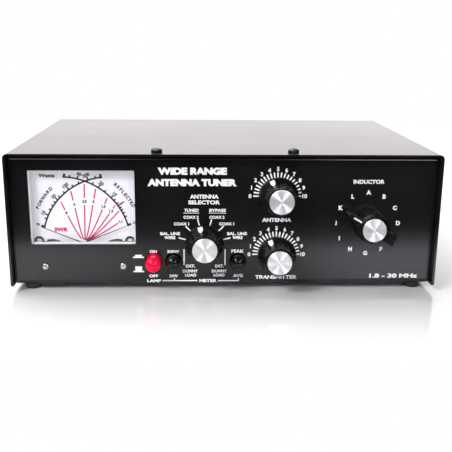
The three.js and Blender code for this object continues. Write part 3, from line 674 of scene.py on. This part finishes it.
SWR_GAP = 1.8  # half the break in a curve for its number
SWR_NUMBER_HEIGHT = 1.9
SWR_INSIDE = 1.2  # the curves stop this far inside the arcs
# (ratio, number printed in the curve, where along it)
SWR_LINES = [
    (1e9, "8", 0.81), (4.5, "4", 0.84), (2.5, "2.5", 0.83), (1.9, "2", 0.86),
    (1.5, "1.5", 0.88), (1.3, "1.3", 0.9), (1.2, "", 0), (1.08, "1.1", 0.93),
]
FOOT_BASE = 27.2
FOOT_ARCH = 28.8  # how far each corner's arch stands from the meter's middle


def needle_angle(side, share):
    """Clockwise angle of a needle at a share of full deflection; side is -1 for forward, 1 for reflected."""
    return side * (REST_ANGLE - FULL_SWING * share)


def on_scale(side, share, beyond=0.0):
    """Where a needle at a share of its swing crosses its arc, or some way beyond."""
    x, z = FORWARD if side < 0 else REFLECTED
    centre_x, centre_z = ARC_CENTRES[side]
    angle = math.radians(needle_angle(side, share))
    along = (centre_x - x) * math.sin(angle) + (centre_z - z) * math.cos(angle)
    aside_squared = (centre_x - x) ** 2 + (centre_z - z) ** 2 - along**2
    reach = along + math.sqrt(ARC_RADIUS**2 - aside_squared)
    return polar(x, z, reach + beyond, needle_angle(side, share))


def needle_crossing(forward_share, reflected_share):
    """Where the two needles cross."""
    a = math.radians(90 - needle_angle(-1, forward_share))
    b = math.radians(90 - needle_angle(1, reflected_share))
    spread = FORWARD[0] - REFLECTED[0]
    along = spread * math.sin(b) / math.sin(a - b)
    return FORWARD[0] + along * math.cos(a), FORWARD[1] + along * math.sin(a)


def build_window():
    outer = block(WINDOW_LOW.x, WINDOW_HIGH.x, WINDOW_LOW.y, WINDOW_HIGH.y, WINDOW_LOW.z, WINDOW_HIGH.z)
    wall = 1.2
    inner = block(WINDOW_LOW.x + wall, WINDOW_HIGH.x - wall, WINDOW_LOW.y + wall, WINDOW_HIGH.y + 1,
                  WINDOW_LOW.z - 1, WINDOW_HIGH.z - wall)
    tray = bevelled(cut(outer, [inner]), 0.2, 60, 2)
    piece("meter_lens", tray, "clear_plastic", replaces=["meter_window"])
    left, right = WINDOW_LOW.x + 0.45, WINDOW_HIGH.x - 0.45
    low, high = WINDOW_LOW.z + 0.45, WINDOW_HIGH.z - 0.45
    corners = [(left, low), (left, high), (right, high), (right, low)]
    edges = [line([a, b], 0.4, WINDOW_LOW.y + 0.1) for a, b in zip(corners, corners[1:] + corners[:1])]
    piece("lens_edge", joined(edges), "lens_edge")


def power_share(power, full):
    """Share of full deflection at a power. The movement reads a little high in the middle of its range."""
    part = power / full
    return part**RESPONSE * (1 + 0.225 * part * (1 - part))


def watt_scale(side, full, numbered, steps):
    """One arc of the meter: a line, its ticks with heavy ones at the ends, and its numbers."""
    marks = [line([on_scale(side, i / 40) for i in range(41)], ARC_WIDTH, SCALE_FACE)]
    for power in steps:
        share = power_share(power, full)
        reach = 2.2 if power in numbered else 1.6
        marks.append(line([on_scale(side, share), on_scale(side, share, reach)], TICK_WIDTH, SCALE_FACE))
    for share in (0, 1):
        ends = [on_scale(side, share, -0.6), on_scale(side, share, 2.2)]
        marks.append(line(ends, END_TICK_WIDTH, SCALE_FACE))
    for power in numbered:
        share = power_share(power, full)
        x, z = on_scale(side, share, 3.4 if power else 4.4)
        if z < SCALE_TOP:
            turn = needle_angle(side, share)
            marks.append(centred_lettering(str(power), x, z, NUMBER_HEIGHT, SCALE_FACE, 0.45, turn))
    return marks


def swr_curve(ratio):
    """The line that the needles' crossing follows at one standing-wave ratio, up to just inside the arcs."""
    reflection = (ratio - 1) / (ratio + 1)
    gain = (reflection**2 * FORWARD_FULL / REFLECTED_FULL) ** RESPONSE
    points = []
    for i in range(5, 130):
        x, z = needle_crossing(i / 100, i / 100 * gain)
        if max(math.dist((x, z), centre) for centre in ARC_CENTRES.values()) > ARC_RADIUS - SWR_INSIDE:
            break
        points.append((x, z))
    return points


def swr_line(ratio, label, share):
    """One curve, with a gap for its number at a share of its length."""
    points = swr_curve(ratio)
    if not label:
        return [line(points, SWR_WIDTH, SCALE_FACE)]
    middle = points[int(share * (len(points) - 1))]
    clear = [math.dist(point, middle) > SWR_GAP for point in points]
    gap = clear.index(False)
    before = points[:gap]
    after = points[gap + clear[gap:].index(True):] if any(clear[gap:]) else []
    return [line(part, SWR_WIDTH, SCALE_FACE) for part in (before, after) if len(part) > 1]


def swr_number(ratio, label, share):
    """The number that stands in a curve's gap."""
    points = swr_curve(ratio)
    x, z = points[int(share * (len(points) - 1))]
    return centred_lettering(label, x, z, SWR_NUMBER_HEIGHT, SCALE_FACE, 0.6)


def curved_words(words, side, share, step, beyond, height):
    """Words set letter by letter round an arc. They read from left to right on both arcs."""
    marks = []
    for i, letter in enumerate(words):
        at = share - side * (i - (len(words) - 1) / 2) * step
        x, z = on_scale(side, at, beyond)
        marks.append(centred_lettering(letter, x, z, height, SCALE_FACE, 0.5, needle_angle(side, at)))
    return marks


def foot_marks(side):
    """The dark arch and wedge at each lower corner of the scale: painted shade in black ink, standing for the
    openings onto the movement behind the card.
    """
    middle = METER_X + side * FOOT_ARCH
    arch = line([(middle + x, FOOT_BASE + z) for x, z in arc(0, 0, 2.6, 0, 180, 16)], 1.2, SCALE_FACE)
    inner = METER_X + side * 23.9
    outer = METER_X + side * 15.0
    wedge = [(inner, FOOT_BASE), (outer, FOOT_BASE + 0.1), (METER_X + side * 17.5, FOOT_BASE + 0.9),
             (METER_X + side * 20.5, FOOT_BASE + 1.3), (inner, FOOT_BASE + 1.0)]
    return [arch, prism(wedge, SCALE_FACE - PRINT, SCALE_FACE)]


def foot_rings(side):
    """The brass-coloured edges inside each arch and under each wedge."""
    middle = METER_X + side * FOOT_ARCH
    inside = [(middle + x, FOOT_BASE + z) for x, z in arc(0, 0, 1.7, 0, 180, 12)]
    under = [(METER_X + side * 32.5, FOOT_BASE - 0.3), (METER_X + side * 15.0, FOOT_BASE - 0.3)]
    return [line(inside, 0.5, SCALE_FACE - PRINT), line(under, 0.45, SCALE_FACE)]


def build_scale():
    plate = block(SCALE_LOW.x, SCALE_HIGH.x, SCALE_LOW.y, SCALE_HIGH.y, SCALE_LOW.z, SCALE_HIGH.z)
    piece("scale_card", plate, "scale_print", replaces=["meter_scale"])
    black = watt_scale(-1, FORWARD_FULL, FORWARD_NUMBERS, FORWARD_TICKS)
    black += watt_scale(1, REFLECTED_FULL, REFLECTED_NUMBERS, REFLECTED_TICKS)
    black.append(lettering("Watts", -116.5, -106.3, 68.4, 70.8, SCALE_FACE, 0.45))
    black += curved_words("FORWARD", -1, 0.30, 0.042, 8.0, 2.3)
    black += curved_words("REFLECTED", 1, 0.31, 0.035, 8.2, 2.3)
    # The dark arches and wedges at the lower corners are painted shade, not print.
    black += foot_marks(-1) + foot_marks(1)
    piece("scale_foot_rings", joined(foot_rings(-1) + foot_rings(1)), "brass")
    black += [swr_number(*row) for row in SWR_LINES if row[1]]
    # The black ink carries the scale's print and the painted shade of the corner openings.
    piece("scale_black_print_and_shade", joined(black), "black_ink")
    red = [mark for row in SWR_LINES for mark in swr_line(*row)]
    red.append(lettering("SWR", -108.1, -99.5, 33.4, 36.1, SCALE_FACE, 0.6))
    piece("scale_red_print", joined(red), "red_ink")
    ledge = block(WINDOW_LOW.x + 1.4, WINDOW_HIGH.x - 1.4, PANEL + 1.25, PANEL + 2.2,
                  WINDOW_LOW.z - 0.6, WINDOW_LOW.z + 0.9)
    piece("meter_ledge", bevelled(ledge, 0.1, 50, 1), "white_plastic")


def needle_solid(y):
    """A needle straight up from its pivot, with hub, staff and counterweight."""
    back = y + NEEDLE_THICKNESS
    blade = loft([
        [(-half, y, z), (half, y, z), (half, back, z), (-half, back, z)]
        for half, z in ((0.6, -6), (0.5, 0), (0.17, NEEDLE_LENGTH))
    ])
    hub = turned([(0, y - 0.1), (2.0, y - 0.1), (2.2, y + 0.1), (2.2, y + 0.9), (2.0, y + 1), (0, y + 1)], 32)
    staff = turned([(0, y + 0.5), (0.6, y + 0.5), (0.6, 22), (0, 22)], 16)
    return combined(blade, [hub, staff], "UNION")


def build_needles():
    for name, side, at, y in (("forward", -1, FORWARD, 8.6), ("reflected", 1, REFLECTED, 9.9)):
        solid = turned_to(needle_solid(y), side * REST_ANGLE, *at)
        piece(f"{name}_needle_blade", solid, "needle_paint", f"{name}_pointer", [f"{name}_needle"])


def build_meter_screws():
    for name, slot_turn in zip(METER_SCREWS, (30, -15)):
        at = centre_of(name)
        screw = turned_to(pan_head(1.95, 1.0, 1.2, 8, 0.5), slot_turn, at.x, at.z)
        piece(f"{name}_slotted", shifted(screw, 0, PANEL - 0.1, 0), "nickel", replaces=[name])


# ---- Buttons and knobs ----

BUTTON_DOME = 3.6
BUTTON_CAP = 15.5
BUTTON_STEM = 1.45  # slides in its switch's square well
KNOB_LOBES = 10
HUB_FLUTES = 34
KNOB_GAP = 0.8  # between a knob and the panel
CAP_SEAT = 0.9  # how deep a cap sits in its knob
TURNS = {"antenna": -25.9, "transmitter": -25.9, "selector": -15.0, "inductor": -60.0}  # marks at rest


def build_buttons():
    for name, finish in BUTTONS.items():
        node = f"{name}_button"
        low, high = span(node)
        at = centre_of(node)
        radius = (high.x - low.x) / 2
        angles = [math.radians(a) for a in range(6, 91, 6)]
        dome = [(radius * math.sin(t), low.y + BUTTON_DOME * (1 - math.cos(t))) for t in angles]
        cap_back = low.y + BUTTON_CAP
        profile = [(0, low.y), *dome, (radius, cap_back), (BUTTON_STEM, cap_back), (BUTTON_STEM, high.y)]
        profile.append((0, high.y))
        cap = shifted(turned(profile, 56), at.x, 0, at.z)
        piece(f"{name}_cap", cap, finish, f"{name}_push", [node])


def cap_radius(name):
    low, high = span(f"{name}_knob_cap")
    return (high.x - low.x) / 2


def grip_front(name):
    """How far a knob's front rim stands off the panel."""
    return PANEL - span(f"{name}_knob_cap")[0].y - CAP_SEAT


def knob_solid(rings, radius_at, count):
    """A knob through rings of (radius, depth of its grooves, height above the panel)."""
    return loft([ring(radius_at(max(r, TINY), depth), PANEL - height, count) for r, depth, height in rings])


def lobed(radius, depth):
    return lambda t: radius - depth * (0.5 - 0.5 * math.cos(KNOB_LOBES * t)) ** 2


def fluted(radius, depth):
    return lambda t: radius - depth * (0.5 - 0.5 * math.cos(HUB_FLUTES * t))


def round_knob():
    """Skirt with a sloping shoulder and a scalloped grip, open at the front for its cap."""
    front = grip_front("transmitter")
    low, high = span("transmitter_knob")
    skirt = (high.x - low.x) / 2
    cap = cap_radius("transmitter")
    rings = [
        (0, 0, KNOB_GAP), (skirt - 0.2, 0, KNOB_GAP), (skirt, 0.05, KNOB_GAP + 0.2), (skirt, 0.15, 2.4),
        (skirt - 0.15, 0.2, 2.9), (skirt - 0.6, 0.3, 3.3), (10.7, 0.4, 4.6), (9.8, 0.5, 6.1),
        (9.2, 0.55, 7.6), (9.15, 0.55, 9.0), (9.15, 0.5, 13), (9.1, 0.45, front - 1.1),
        (8.95, 0.35, front - 0.5), (8.6, 0.2, front - 0.1), (cap + 0.15, 0.05, front),
        (cap + 0.1, 0, front - CAP_SEAT), (0, 0, front - CAP_SEAT),
    ]
    return knob_solid(rings, lobed, 120)


def index_mark():
    """The white pentagon on the shoulder, pointing at the centre."""
    outline = [(-1.5, 11.6), (1.5, 11.6), (1.5, 10.1), (0, 8.5), (-1.5, 10.1)]
    rows = []
    for sunk in (-0.25, 1.0):
        slope = [PANEL - 3.3 - (11.8 - r) * 1.55 + sunk for _, r in outline]
        rows.append([(x, y, r) for (x, r), y in zip(outline, slope)])
    return loft(rows)


def bar_knob():
    """A fluted hub with a tapered bar across it, narrow end at the index."""
    cap = cap_radius("inductor")
    front = grip_front("inductor")
    rings = [
        (0, 0, KNOB_GAP), (10.2, 0, KNOB_GAP), (10.4, 0.1, KNOB_GAP + 0.4), (10.2, 0.5, 3), (9.8, 0.5, 12.4),
        (9.5, 0.3, 13.2), (8.4, 0.1, 14.4), (cap + 0.5, 0, 15.4), (cap + 0.4, 0, front - 0.2),
        (cap + 0.25, 0, front), (cap + 0.1, 0, front), (cap + 0.1, 0, front - CAP_SEAT),
        (0, 0, front - CAP_SEAT),
    ]
    hub = knob_solid(rings, fluted, 6 * HUB_FLUTES)
    tip = [(-x, z) for x, z in arc(0, 16.5, 1.5, 0, 180, 8)]
    outline = [(-4, -16.2), (-3.7, -16.5), (3.7, -16.5), (4, -16.2), *tip[::-1]]
    bar = bevelled(prism(outline, PANEL - 14, PANEL - 2.5), 0.45, 50, 3)
    return combined(hub, [bar], "UNION")


def bar_line():
    return bevelled(block(-0.5, 0.5, PANEL - 14.08, PANEL - 13.5, 8.4, 14.4), 0.03, 50, 1)


def knob_disc(front, radius):
    """A spun cap: a fine raised rim, a chamfer and a flat face."""
    profile = [
        (0, front + 0.12), (radius - 1.0, front + 0.12), (radius - 0.8, front + 0.02), (radius - 0.35, front),
        (radius - 0.1, front + 0.12), (radius, front + 0.4), (radius, front + 1.1), (0, front + 1.1),
    ]
    return turned(profile, 96)


def build_knobs():
    for name, body in KNOBS.items():
        x, z = pivot_of(body)
        turn = TURNS[name]
        round_one = name != "inductor"
        grip = turned_to(round_knob() if round_one else bar_knob(), turn, x, z)
        piece(f"{name}_grip", grip, "knob_black", body, [f"{name}_knob"], sharp=38)
        mark = turned_to(index_mark() if round_one else bar_line(), turn, x, z)
        piece(f"{name}_index", mark, "white_print", body)
        cap = turned_to(knob_disc(span(f"{name}_knob_cap")[0].y, cap_radius(name)), turn, x, z)
        piece(f"{name}_disc", cap, "spun_aluminium", body, [f"{name}_knob_cap"])


# ---- Panel print ----

TICK_START = 11.7
# Centres of the printed dials. The knobs' shafts stand a little to one side of them.
DIALS = {
    "antenna": (32.8, 57.9), "transmitter": (32.8, 19.8),
    "selector": (-12.8, 26.4), "inductor": (90.4, 40.4),
}


def tick(x, z, angle, length, width):
    """A line that points away from a dial's centre, just outside its knob."""
    return line([polar(x, z, TICK_START, angle), polar(x, z, TICK_START + length, angle)], width, PANEL)


def dial_print(x, z):
    """A 0 to 10 dial over the top of a knob: ticks at each half step and a number at each step."""
    marks = [tick(x, z, angle, 3.4, 0.95) for angle in range(-90, 91, 9)]
    for number in range(11):
        place = polar(x, z, 17.2, -90 + 18 * number)
        marks.append(centred_lettering(str(number), *place, 2.7, PANEL, 0.4))
    return marks


def selector_print():
    """Six ticks round the knob, and an upright bar over each of the two lowest positions."""
    marks = [tick(*DIALS["selector"], angle, 5.3, 0.8) for angle in range(-75, 76, 30)]
    return marks + [line([(x, 12.6), (x, 23.25)], 0.8, PANEL) for x in (-25.9, 0.3)]


def inductor_print():
    places = [(letter, polar(*DIALS["inductor"], 19.9, 30 * i)) for i, letter in enumerate("ABCDEFGHIJKL")]
    return [centred_lettering(letter, *place, 2.9, PANEL, 0.6) for letter, place in places]


HEADING_BOLD = 0.7
LABEL_BOLD = 0.42
# (words, left, right, low, high) on the front panel
HEADING = [
    ("WIDE RANGE", -41.9, 1.0, 71.3, 75.9),
    ("ANTENNA TUNER", -48.3, 7.2, 64.1, 68.7),
]
LABELS = [
    ("ANTENNA", -22, -4.1, 56.2, 58.8),
    ("SELECTOR", -23.1, -3.2, 52.5, 55.1),
    ("TUNED", -25.6, -16.5, 47.7, 49.7),
    ("BYPASS", -9.9, 0.6, 47.7, 49.7),
    ("COAX 2", -26.1, -16.5, 43.2, 45.2),
    ("COAX 2", -9.9, -0.2, 43.2, 45.2),
    ("COAX 1", -32.2, -22.6, 38.9, 40.9),
    ("COAX 1", -3.6, 5.8, 38.9, 40.9),
    ("BAL. LINE", -40.8, -28.3, 32.5, 34.5),
    ("BAL. LINE", 1.5, 14, 32.5, 34.5),
    ("WIRE", -38.3, -31.3, 29.9, 31.9),
    ("WIRE", 4.9, 11.4, 29.9, 31.9),
    ("EXT.", -24.8, -18.8, 11, 13),
    ("EXT.", -6.1, -0.5, 11, 13),
    ("DUMMY", -26.8, -17.1, 7.6, 9.6),
    ("DUMMY", -8.2, 1.6, 7.6, 9.6),
    ("LOAD", -25.4, -18.1, 4.9, 6.9),
    ("LOAD", -7, 0.1, 4.9, 6.9),
    ("ON", -47.7, -43.2, 20.7, 22.7),
    ("OFF", -48.3, -42.4, 4.4, 6.4),
    ("LAMP", -49.6, -40.6, 1.1, 3.1),
    ("300W", -36.6, -28.9, 20.7, 22.7),
    ("30W", -35.3, -29.8, 4.4, 6.4),
    ("METER", -16.2, -4.9, 1.1, 3.2),
    ("PEAK", 4.2, 12.3, 20.8, 23),
    ("AVG", 5.5, 11.9, 4.4, 6.5),
    ("ANTENNA", 23.5, 42, 41.2, 43.7),
    ("TRANSMITTER", 19.8, 46.8, 3.2, 5.7),
    ("INDUCTOR", 80.4, 100, 65.8, 68.4),
    ("1.8 - 30 MHz", 94, 125.5, 3.7, 6.6),
]


# (start, end, width): lines under the selector's two headings, and the bracket below the buttons
RULES = [
    ((-26.2, 46.9), (-16.2, 46.9), 0.35),
    ((-10.2, 46.9), (0.8, 46.9), 0.35),
    ((-39.7, 2.2), (-17.4, 2.2), 0.8),
    ((-32.1, 2.3), (-32.1, 3.8), 0.7),
    ((-4, 2.1), (9.4, 2.1), 0.8),
    ((9.0, 2.2), (9.0, 3.7), 0.7),
]


def button_icons():
    """Little drawings of a button pushed in, over one that stands out."""
    marks = []
    for base, height in ((17.9, 1.2), (8.4, 3.0)):
        marks.append(block(-58.3, -51.4, PANEL - PRINT, PANEL, base - 0.45, base + 0.45))
        marks.append(block(-57.0, -52.7, PANEL - PRINT, PANEL, base + 0.45, base + 0.45 + height))
    return marks


def build_panel_print():
    marks = [lettering(words, *place, PANEL, HEADING_BOLD) for words, *place in HEADING]
    marks += [lettering(words, *place, PANEL, LABEL_BOLD) for words, *place in LABELS]
    marks += dial_print(*DIALS["antenna"]) + dial_print(*DIALS["transmitter"])
    marks += selector_print() + inductor_print() + button_icons()
    marks += [line([start, end], width, PANEL) for start, end, width in RULES]
    piece("panel_print", joined(marks), "white_print")


# ---- Rear hardware ----

SEAT = REAR + 0.1  # where what is bolted to the rear panel's outside begins
INSIDE = REAR - SHEET
BARREL_RADIUS = 7.9
SCREW_SPREAD = 9.6


def threads(radius, y0, y1, pitch, depth=0.3):
    """Ring profile of a thread, as [radius, y] points."""
    count = max(1, int((y1 - y0) / pitch))
    points = []
    for i in range(count):
        y = y0 + i * pitch
        points += [(radius - depth, y), (radius, y + pitch * 0.35), (radius, y + pitch * 0.6)]
    return points + [(radius - depth, y1)]


def loft_ring(profile, count=48):
    """A ring-shaped solid from a [radius, y] profile that closes on itself clear of the axis."""
    bm = bmesh.new()
    rows = [[bm.verts.new(p) for p in ring(lambda t, r=r: r, y, count)] for r, y in profile]
    for a, b in zip(rows, rows[1:] + rows[:1]):
        for i in range(count):
            j = (i + 1) % count
            bm.faces.new((a[i], a[j], b[j], b[i]))
    return finish_solid(bm)


def hexagon(across, y0, y1, bore):
    """A chamfered hexagon nut along Y; across is between its flats, and bore is its hole's radius."""
    corner = across / math.sqrt(3)
    flat = across / 2 - 0.1
    dome = [(0, y0 - 0.01), (flat, y0 - 0.01), (corner + 0.2, y0 + 0.5), (corner + 0.2, y1 - 0.5),
            (flat, y1 + 0.01), (0, y1 + 0.01)]
    nut = combined(prism(arc(0, 0, corner, 0, 300, 5), y0, y1), [turned(dome)], "INTERSECT")
    return cut(nut, [turned([(0, y0 - 1), (bore, y0 - 1), (bore, y1 + 1), (0, y1 + 1)], 32)])


def socket_shell(half, end):
    """The threaded barrel on its square flange, up to `end`."""
    barrel = BARREL_RADIUS
    profile = [
        (0, SEAT - 15), (2, SEAT - 15), (2, SEAT - 9), (6.5, SEAT - 9), (6.5, SEAT + 0.5),
        (barrel, SEAT + 0.5), *threads(barrel, SEAT + 3.2, end - 0.6, 1.06), (barrel - 0.4, end),
        (barrel - 1.2, end), (barrel - 1.3, end - 0.3), (barrel - 1.3, end - 8), (0, end - 8),
    ]
    flange = prism(rounded_rectangle(-half, half, -half, half, 2.2), SEAT, SEAT + 2)
    return combined(turned(profile, 64), [bevelled(flange, 0.25, 60, 2)], "UNION")


def build_sockets():
    for name in SOCKETS:
        low, high = span(name)
        at = centre_of(name)
        end = high.y
        shell = socket_shell((high.x - low.x) / 2, end)
        piece(f"{name}_shell", shifted(shell, at.x, 0, at.z), "nickel", replaces=[name])
        insulator = loft_ring([
            (2.2, end - 7.9), (6.4, end - 7.9), (6.4, end - 6.2), (5.1, end - 5.9), (5.1, end - 0.9),
            (4.8, end - 0.6), (2.5, end - 0.6), (2.2, end - 0.9),
        ])
        piece(f"{name}_insulator", shifted(insulator, at.x, 0, at.z), "ptfe")
        contact = loft_ring([
            (1.5, end - 7.9), (2.1, end - 7.9), (2.1, end - 0.7), (1.9, end - 0.5), (1.6, end - 0.7),
        ])
        piece(f"{name}_contact", shifted(contact, at.x, 0, at.z), "brass")
        screws = [
            shifted(rotated(pan_head(2.2, 1.4, 1.1, 3, 0.5), 180, "Z"), at.x + x, SEAT + 2, at.z + z)
            for x, z in ((-SCREW_SPREAD, SCREW_SPREAD), (SCREW_SPREAD, -SCREW_SPREAD))
        ]
        piece(f"{name}_screws", joined(screws), "nickel")


def build_posts():
    for name in POSTS:
        low, high = span(name)
        at = centre_of(name)
        foot = (high.x - low.x) / 2
        cone = [
            (0, INSIDE - 7), (6, INSIDE - 7), (6, INSIDE - 0.1), (3.7, INSIDE - 0.1), (3.7, SEAT),
            (foot - 0.3, SEAT), (foot, SEAT + 0.4), (foot - 0.1, SEAT + 2), (foot - 0.7, SEAT + 2.6),
            (6.2, SEAT + 4.6), (5.6, SEAT + 6.6), (5.2, SEAT + 7.8), (4.9, SEAT + 8), (0, SEAT + 8),
        ]
        piece(f"{name}_insulator", shifted(turned(cone), at.x, 0, at.z), "ceramic", replaces=[name])
        stud = [
            (0, INSIDE - 14), (1.6, INSIDE - 14), *threads(1.8, INSIDE - 13.6, INSIDE - 7.4, 0.8, 0.2),
            (1.6, SEAT + 8), *threads(1.8, SEAT + 8.2, high.y - 0.5, 0.8, 0.2), (1.5, high.y), (0, high.y),
        ]
        piece(f"{name}_stud", shifted(turned(stud, 24), at.x, 0, at.z), "nickel")
        washer = loft_ring([(1.9, SEAT + 8.02), (4.4, SEAT + 8.02), (4.4, SEAT + 8.7), (1.9, SEAT + 8.7)])
        nut = hexagon(6.9, SEAT + 8.75, SEAT + 11.2, 1.9)
        piece(f"{name}_nut", turned_to(joined([washer, nut]), 12, at.x, at.z), "nickel")


def wing(side, seat):
    """One rounded ear of the wing nut."""
    edge = [
        (2.6, 0.4), (3.6, 0.4), (5.6, 1.2), (7.6, 2.5), (8.7, 3.8), (9.0, 5.2),
        (8.8, 6.5), (8.1, 7.2), (7.2, 7.3), (6.0, 6.0), (4.4, 4.6), (2.6, 3.6),
    ]
    outline = [(side * out, seat + along) for out, along in edge]
    return bevelled(prism(outline, -0.8, 0.8, "Z"), 0.3, 50, 2)


def build_ground_terminal():
    x, z = pivot_of("ground_spinner")
    end = span("ground_stud")[1].y
    y0, y1 = [corner.y for corner in span("ground_washer")]
    stud = [
        (0, INSIDE - 3), (3.9, INSIDE - 3), (4, INSIDE - 2.8), (4, INSIDE - 0.1), (1.7, INSIDE - 0.1),
        (1.7, REAR + 3), *threads(2.0, REAR + 3.1, end - 0.5, 0.7, 0.22), (1.6, end), (0, end),
    ]
    stud_and_nut = joined([turned(stud, 32), hexagon(6.9, SEAT, y0 - 0.1, 1.75)])
    piece("ground_stud_thread", shifted(stud_and_nut, x, 0, z), "nickel", replaces=["ground_stud"])
    washer = loft_ring([(2.3, y0), (4.9, y0), (5, y0 + 0.1), (5, y1 - 0.1), (4.9, y1), (2.3, y1)])
    piece("ground_washer_ring", shifted(washer, x, 0, z), "nickel", "ground_slider", ["ground_washer"])
    seat = span("ground_wing_nut")[0].y
    hub = [(2.3, seat), (3.9, seat), (4, seat + 0.2), (3.1, seat + 3.8), (2.9, seat + 4), (2.3, seat + 4)]
    nut = combined(loft_ring(hub), [wing(-1, seat), wing(1, seat)], "UNION")
    piece("ground_nut_wings", shifted(nut, x, 0, z), "nickel", "ground_spinner", ["ground_wing_nut"])


def build_power_jack():
    at = centre_of("power_jack")
    well = REAR - 8
    barrel = [
        (0, REAR - 15), (4, REAR - 15), (4, SEAT), (5.2, SEAT), (5.5, SEAT + 0.3), (5.5, SEAT + 1.3),
        (5.2, SEAT + 1.6), (3.1, SEAT + 1.6), (2.9, SEAT + 1.4), (2.9, well), (0, well),
    ]
    body = shifted(turned(barrel), at.x, 0, at.z)
    piece("power_jack_barrel", body, "switch_black", replaces=["power_jack"])
    pin = [(0, well - 0.1), (1, well - 0.1), (1, SEAT + 0.2), (0.7, SEAT + 0.6), (0, SEAT + 0.6)]
    piece("power_jack_pin", shifted(turned(pin, 24), at.x, 0, at.z), "nickel")


# ---- Inside the case ----

INNER_FINISHES = {
    "meter_case": "white_plastic", "meter_lamp": "bulb_glass", "meter_board": "circuit_board",
    "forward_movement": "cast_aluminium", "reflected_movement": "cast_aluminium",
    "selector_switch": "phenolic", "inductor_switch": "phenolic",
    "selector_shaft": "plate_aluminium", "inductor_shaft": "plate_aluminium",
    "inductor_coil": "copper_wire", "coil_former": "white_plastic",
    **{f"{name}_switch": "switch_black" for name in BUTTONS},
    **{f"{name}_toroid": "ferrite" for name in ("pickup", "low_band", "balun")},
    **{f"{name}_capacitor_{part}": "plate_aluminium"
       for name in ("antenna", "transmitter") for part in ("frame", "stator", "rotor")},
}


def finish_inner_parts():
    for node, finish in INNER_FINISHES.items():
        for slot in frame["nodes"][node].material_slots:
            slot.material = MATERIALS[finish]


# ---- Stage ----

FLOOR = (0.85, -0.19, 0.85)  # half its width, its front edge and its back edge
FRONT_GLOW = 0.04
BACK_GLOW = 0.58
MIDDLE = (0, 0, 0.04)
COOL = (0.85, 0.88, 1.0)


def build_floor():
    """A plain pale sheet. It ends close in front of the object, and plain white shows beyond it."""
    mesh = bpy.data.meshes.new("floor")
    side, front, back = FLOOR
    bm = bmesh.new()
    corners = ((-side, front, 0), (side, front, 0), (side, back, 0), (-side, back, 0))
    bm.faces.new([bm.verts.new(corner) for corner in corners])
    bm.to_mesh(mesh)
    bm.free()
    floor = bpy.data.objects.new("floor", mesh)
    bpy.context.scene.collection.objects.link(floor)
    finish = Finish("floor_paper", Roughness=0.13, Specular_IOR_Level=0.7)
    finish.colour(finish.noise(0.5, 3), grey(0.60), grey(0.63))
    mesh.materials.append(finish.material)


def area_light(name, place, target, size, power, colour=(1, 1, 1)):
    data = bpy.data.lights.new(name, "AREA")
    data.shape = "RECTANGLE"
    data.size, data.size_y = size
    data.energy = power
    data.color = colour
    light = bpy.data.objects.new(name, data)
    bpy.context.scene.collection.objects.link(light)
    light.location = place
    light.rotation_euler = (Vector(target) - Vector(place)).to_track_quat("-Z", "Y").to_euler()


def build_world():
    """A bright studio behind and above the object and a dim one in front. The camera sees plain white."""
    world = bpy.data.worlds.new("studio")
    bpy.context.scene.world = world
    world.use_nodes = True
    nodes, links = world.node_tree.nodes, world.node_tree.links
    background = nodes["Background"]
    background.inputs["Color"].default_value = (1, 0.95, 0.965, 1)
    plain = new_node(nodes, "Background", Color=(1, 1, 1, 1), Strength=1.0)
    coordinates = new_node(nodes, "TexCoord")
    parts = new_node(nodes, "SeparateXYZ")
    ramp = new_node(nodes, "MapRange", From_Min=-0.35, From_Max=0.55, To_Min=FRONT_GLOW, To_Max=BACK_GLOW)
    seen = new_node(nodes, "LightPath")
    choice = new_node(nodes, "MixShader")
    links.new(coordinates.outputs["Generated"], parts.inputs["Vector"])
    links.new(parts.outputs["Y"], ramp.inputs["Value"])
    links.new(ramp.outputs["Result"], background.inputs["Strength"])
    links.new(seen.outputs["Is Camera Ray"], choice.inputs["Fac"])
    links.new(background.outputs["Background"], choice.inputs[1])
    links.new(plain.outputs["Background"], choice.inputs[2])
    links.new(choice.outputs["Shader"], nodes["World Output"].inputs["Surface"])


def build_lights():
    build_world()
    area_light("back_sweep", (0, 2.6, 1.0), (0, 0, 0.1), (5.0, 2.0), 34, (1, 0.945, 0.965))
    area_light("overhead", (-0.45, 0.5, 1.4), MIDDLE, (1.8, 1.4), 40)
    area_light("fill", (-0.8, -0.8, 0.85), MIDDLE, (0.8, 0.6), 12)
    area_light("right_fill", (0.8, -0.9, 0.75), MIDDLE, (0.4, 0.3), 3.5)
    area_light("key", (-0.70, -0.79, 0.87), MIDDLE, (0.14, 0.14), 6)
    area_light("low_right", (0.46, -1.23, 0.37), (0.13, -0.1, 0), (0.4, 0.25), 3, COOL)
    area_light("low_left", (-0.39, -1.24, 0.37), (-0.12, -0.1, 0), (0.4, 0.25), 1.5, COOL)


def build_camera():
    data = bpy.data.cameras.new("camera")
    data.lens = 58.05
    data.sensor_width = 36
    camera = bpy.data.objects.new("camera", data)
    bpy.context.scene.collection.objects.link(camera)
    yaw, pitch, roll = math.radians(2.215), math.radians(14.915), math.radians(0.546)
    forward = Vector((math.sin(yaw) * math.cos(pitch), math.cos(yaw) * math.cos(pitch), -math.sin(pitch)))
    level = Vector((math.cos(yaw), -math.sin(yaw), 0))
    upright_axis = level.cross(forward)
    right = level * math.cos(roll) + upright_axis * math.sin(roll)
    up = right.cross(forward)
    turn = Matrix((right, up, -forward)).transposed().to_4x4()
    camera.matrix_world = Matrix.Translation((-0.0165, -0.5279, 0.1611)) @ turn
    bpy.context.scene.camera = camera


bpy.context.scene.view_settings.view_transform = "Standard"
make_materials()
build_chassis()
build_cover()
build_cover_screws()
build_side_screws()
build_feet()
build_window()
build_scale()
build_needles()
build_meter_screws()
build_buttons()
build_knobs()
build_panel_print()
build_sockets()
build_posts()
build_ground_terminal()
build_power_jack()
finish_inner_parts()
build_floor()
build_lights()
build_camera()
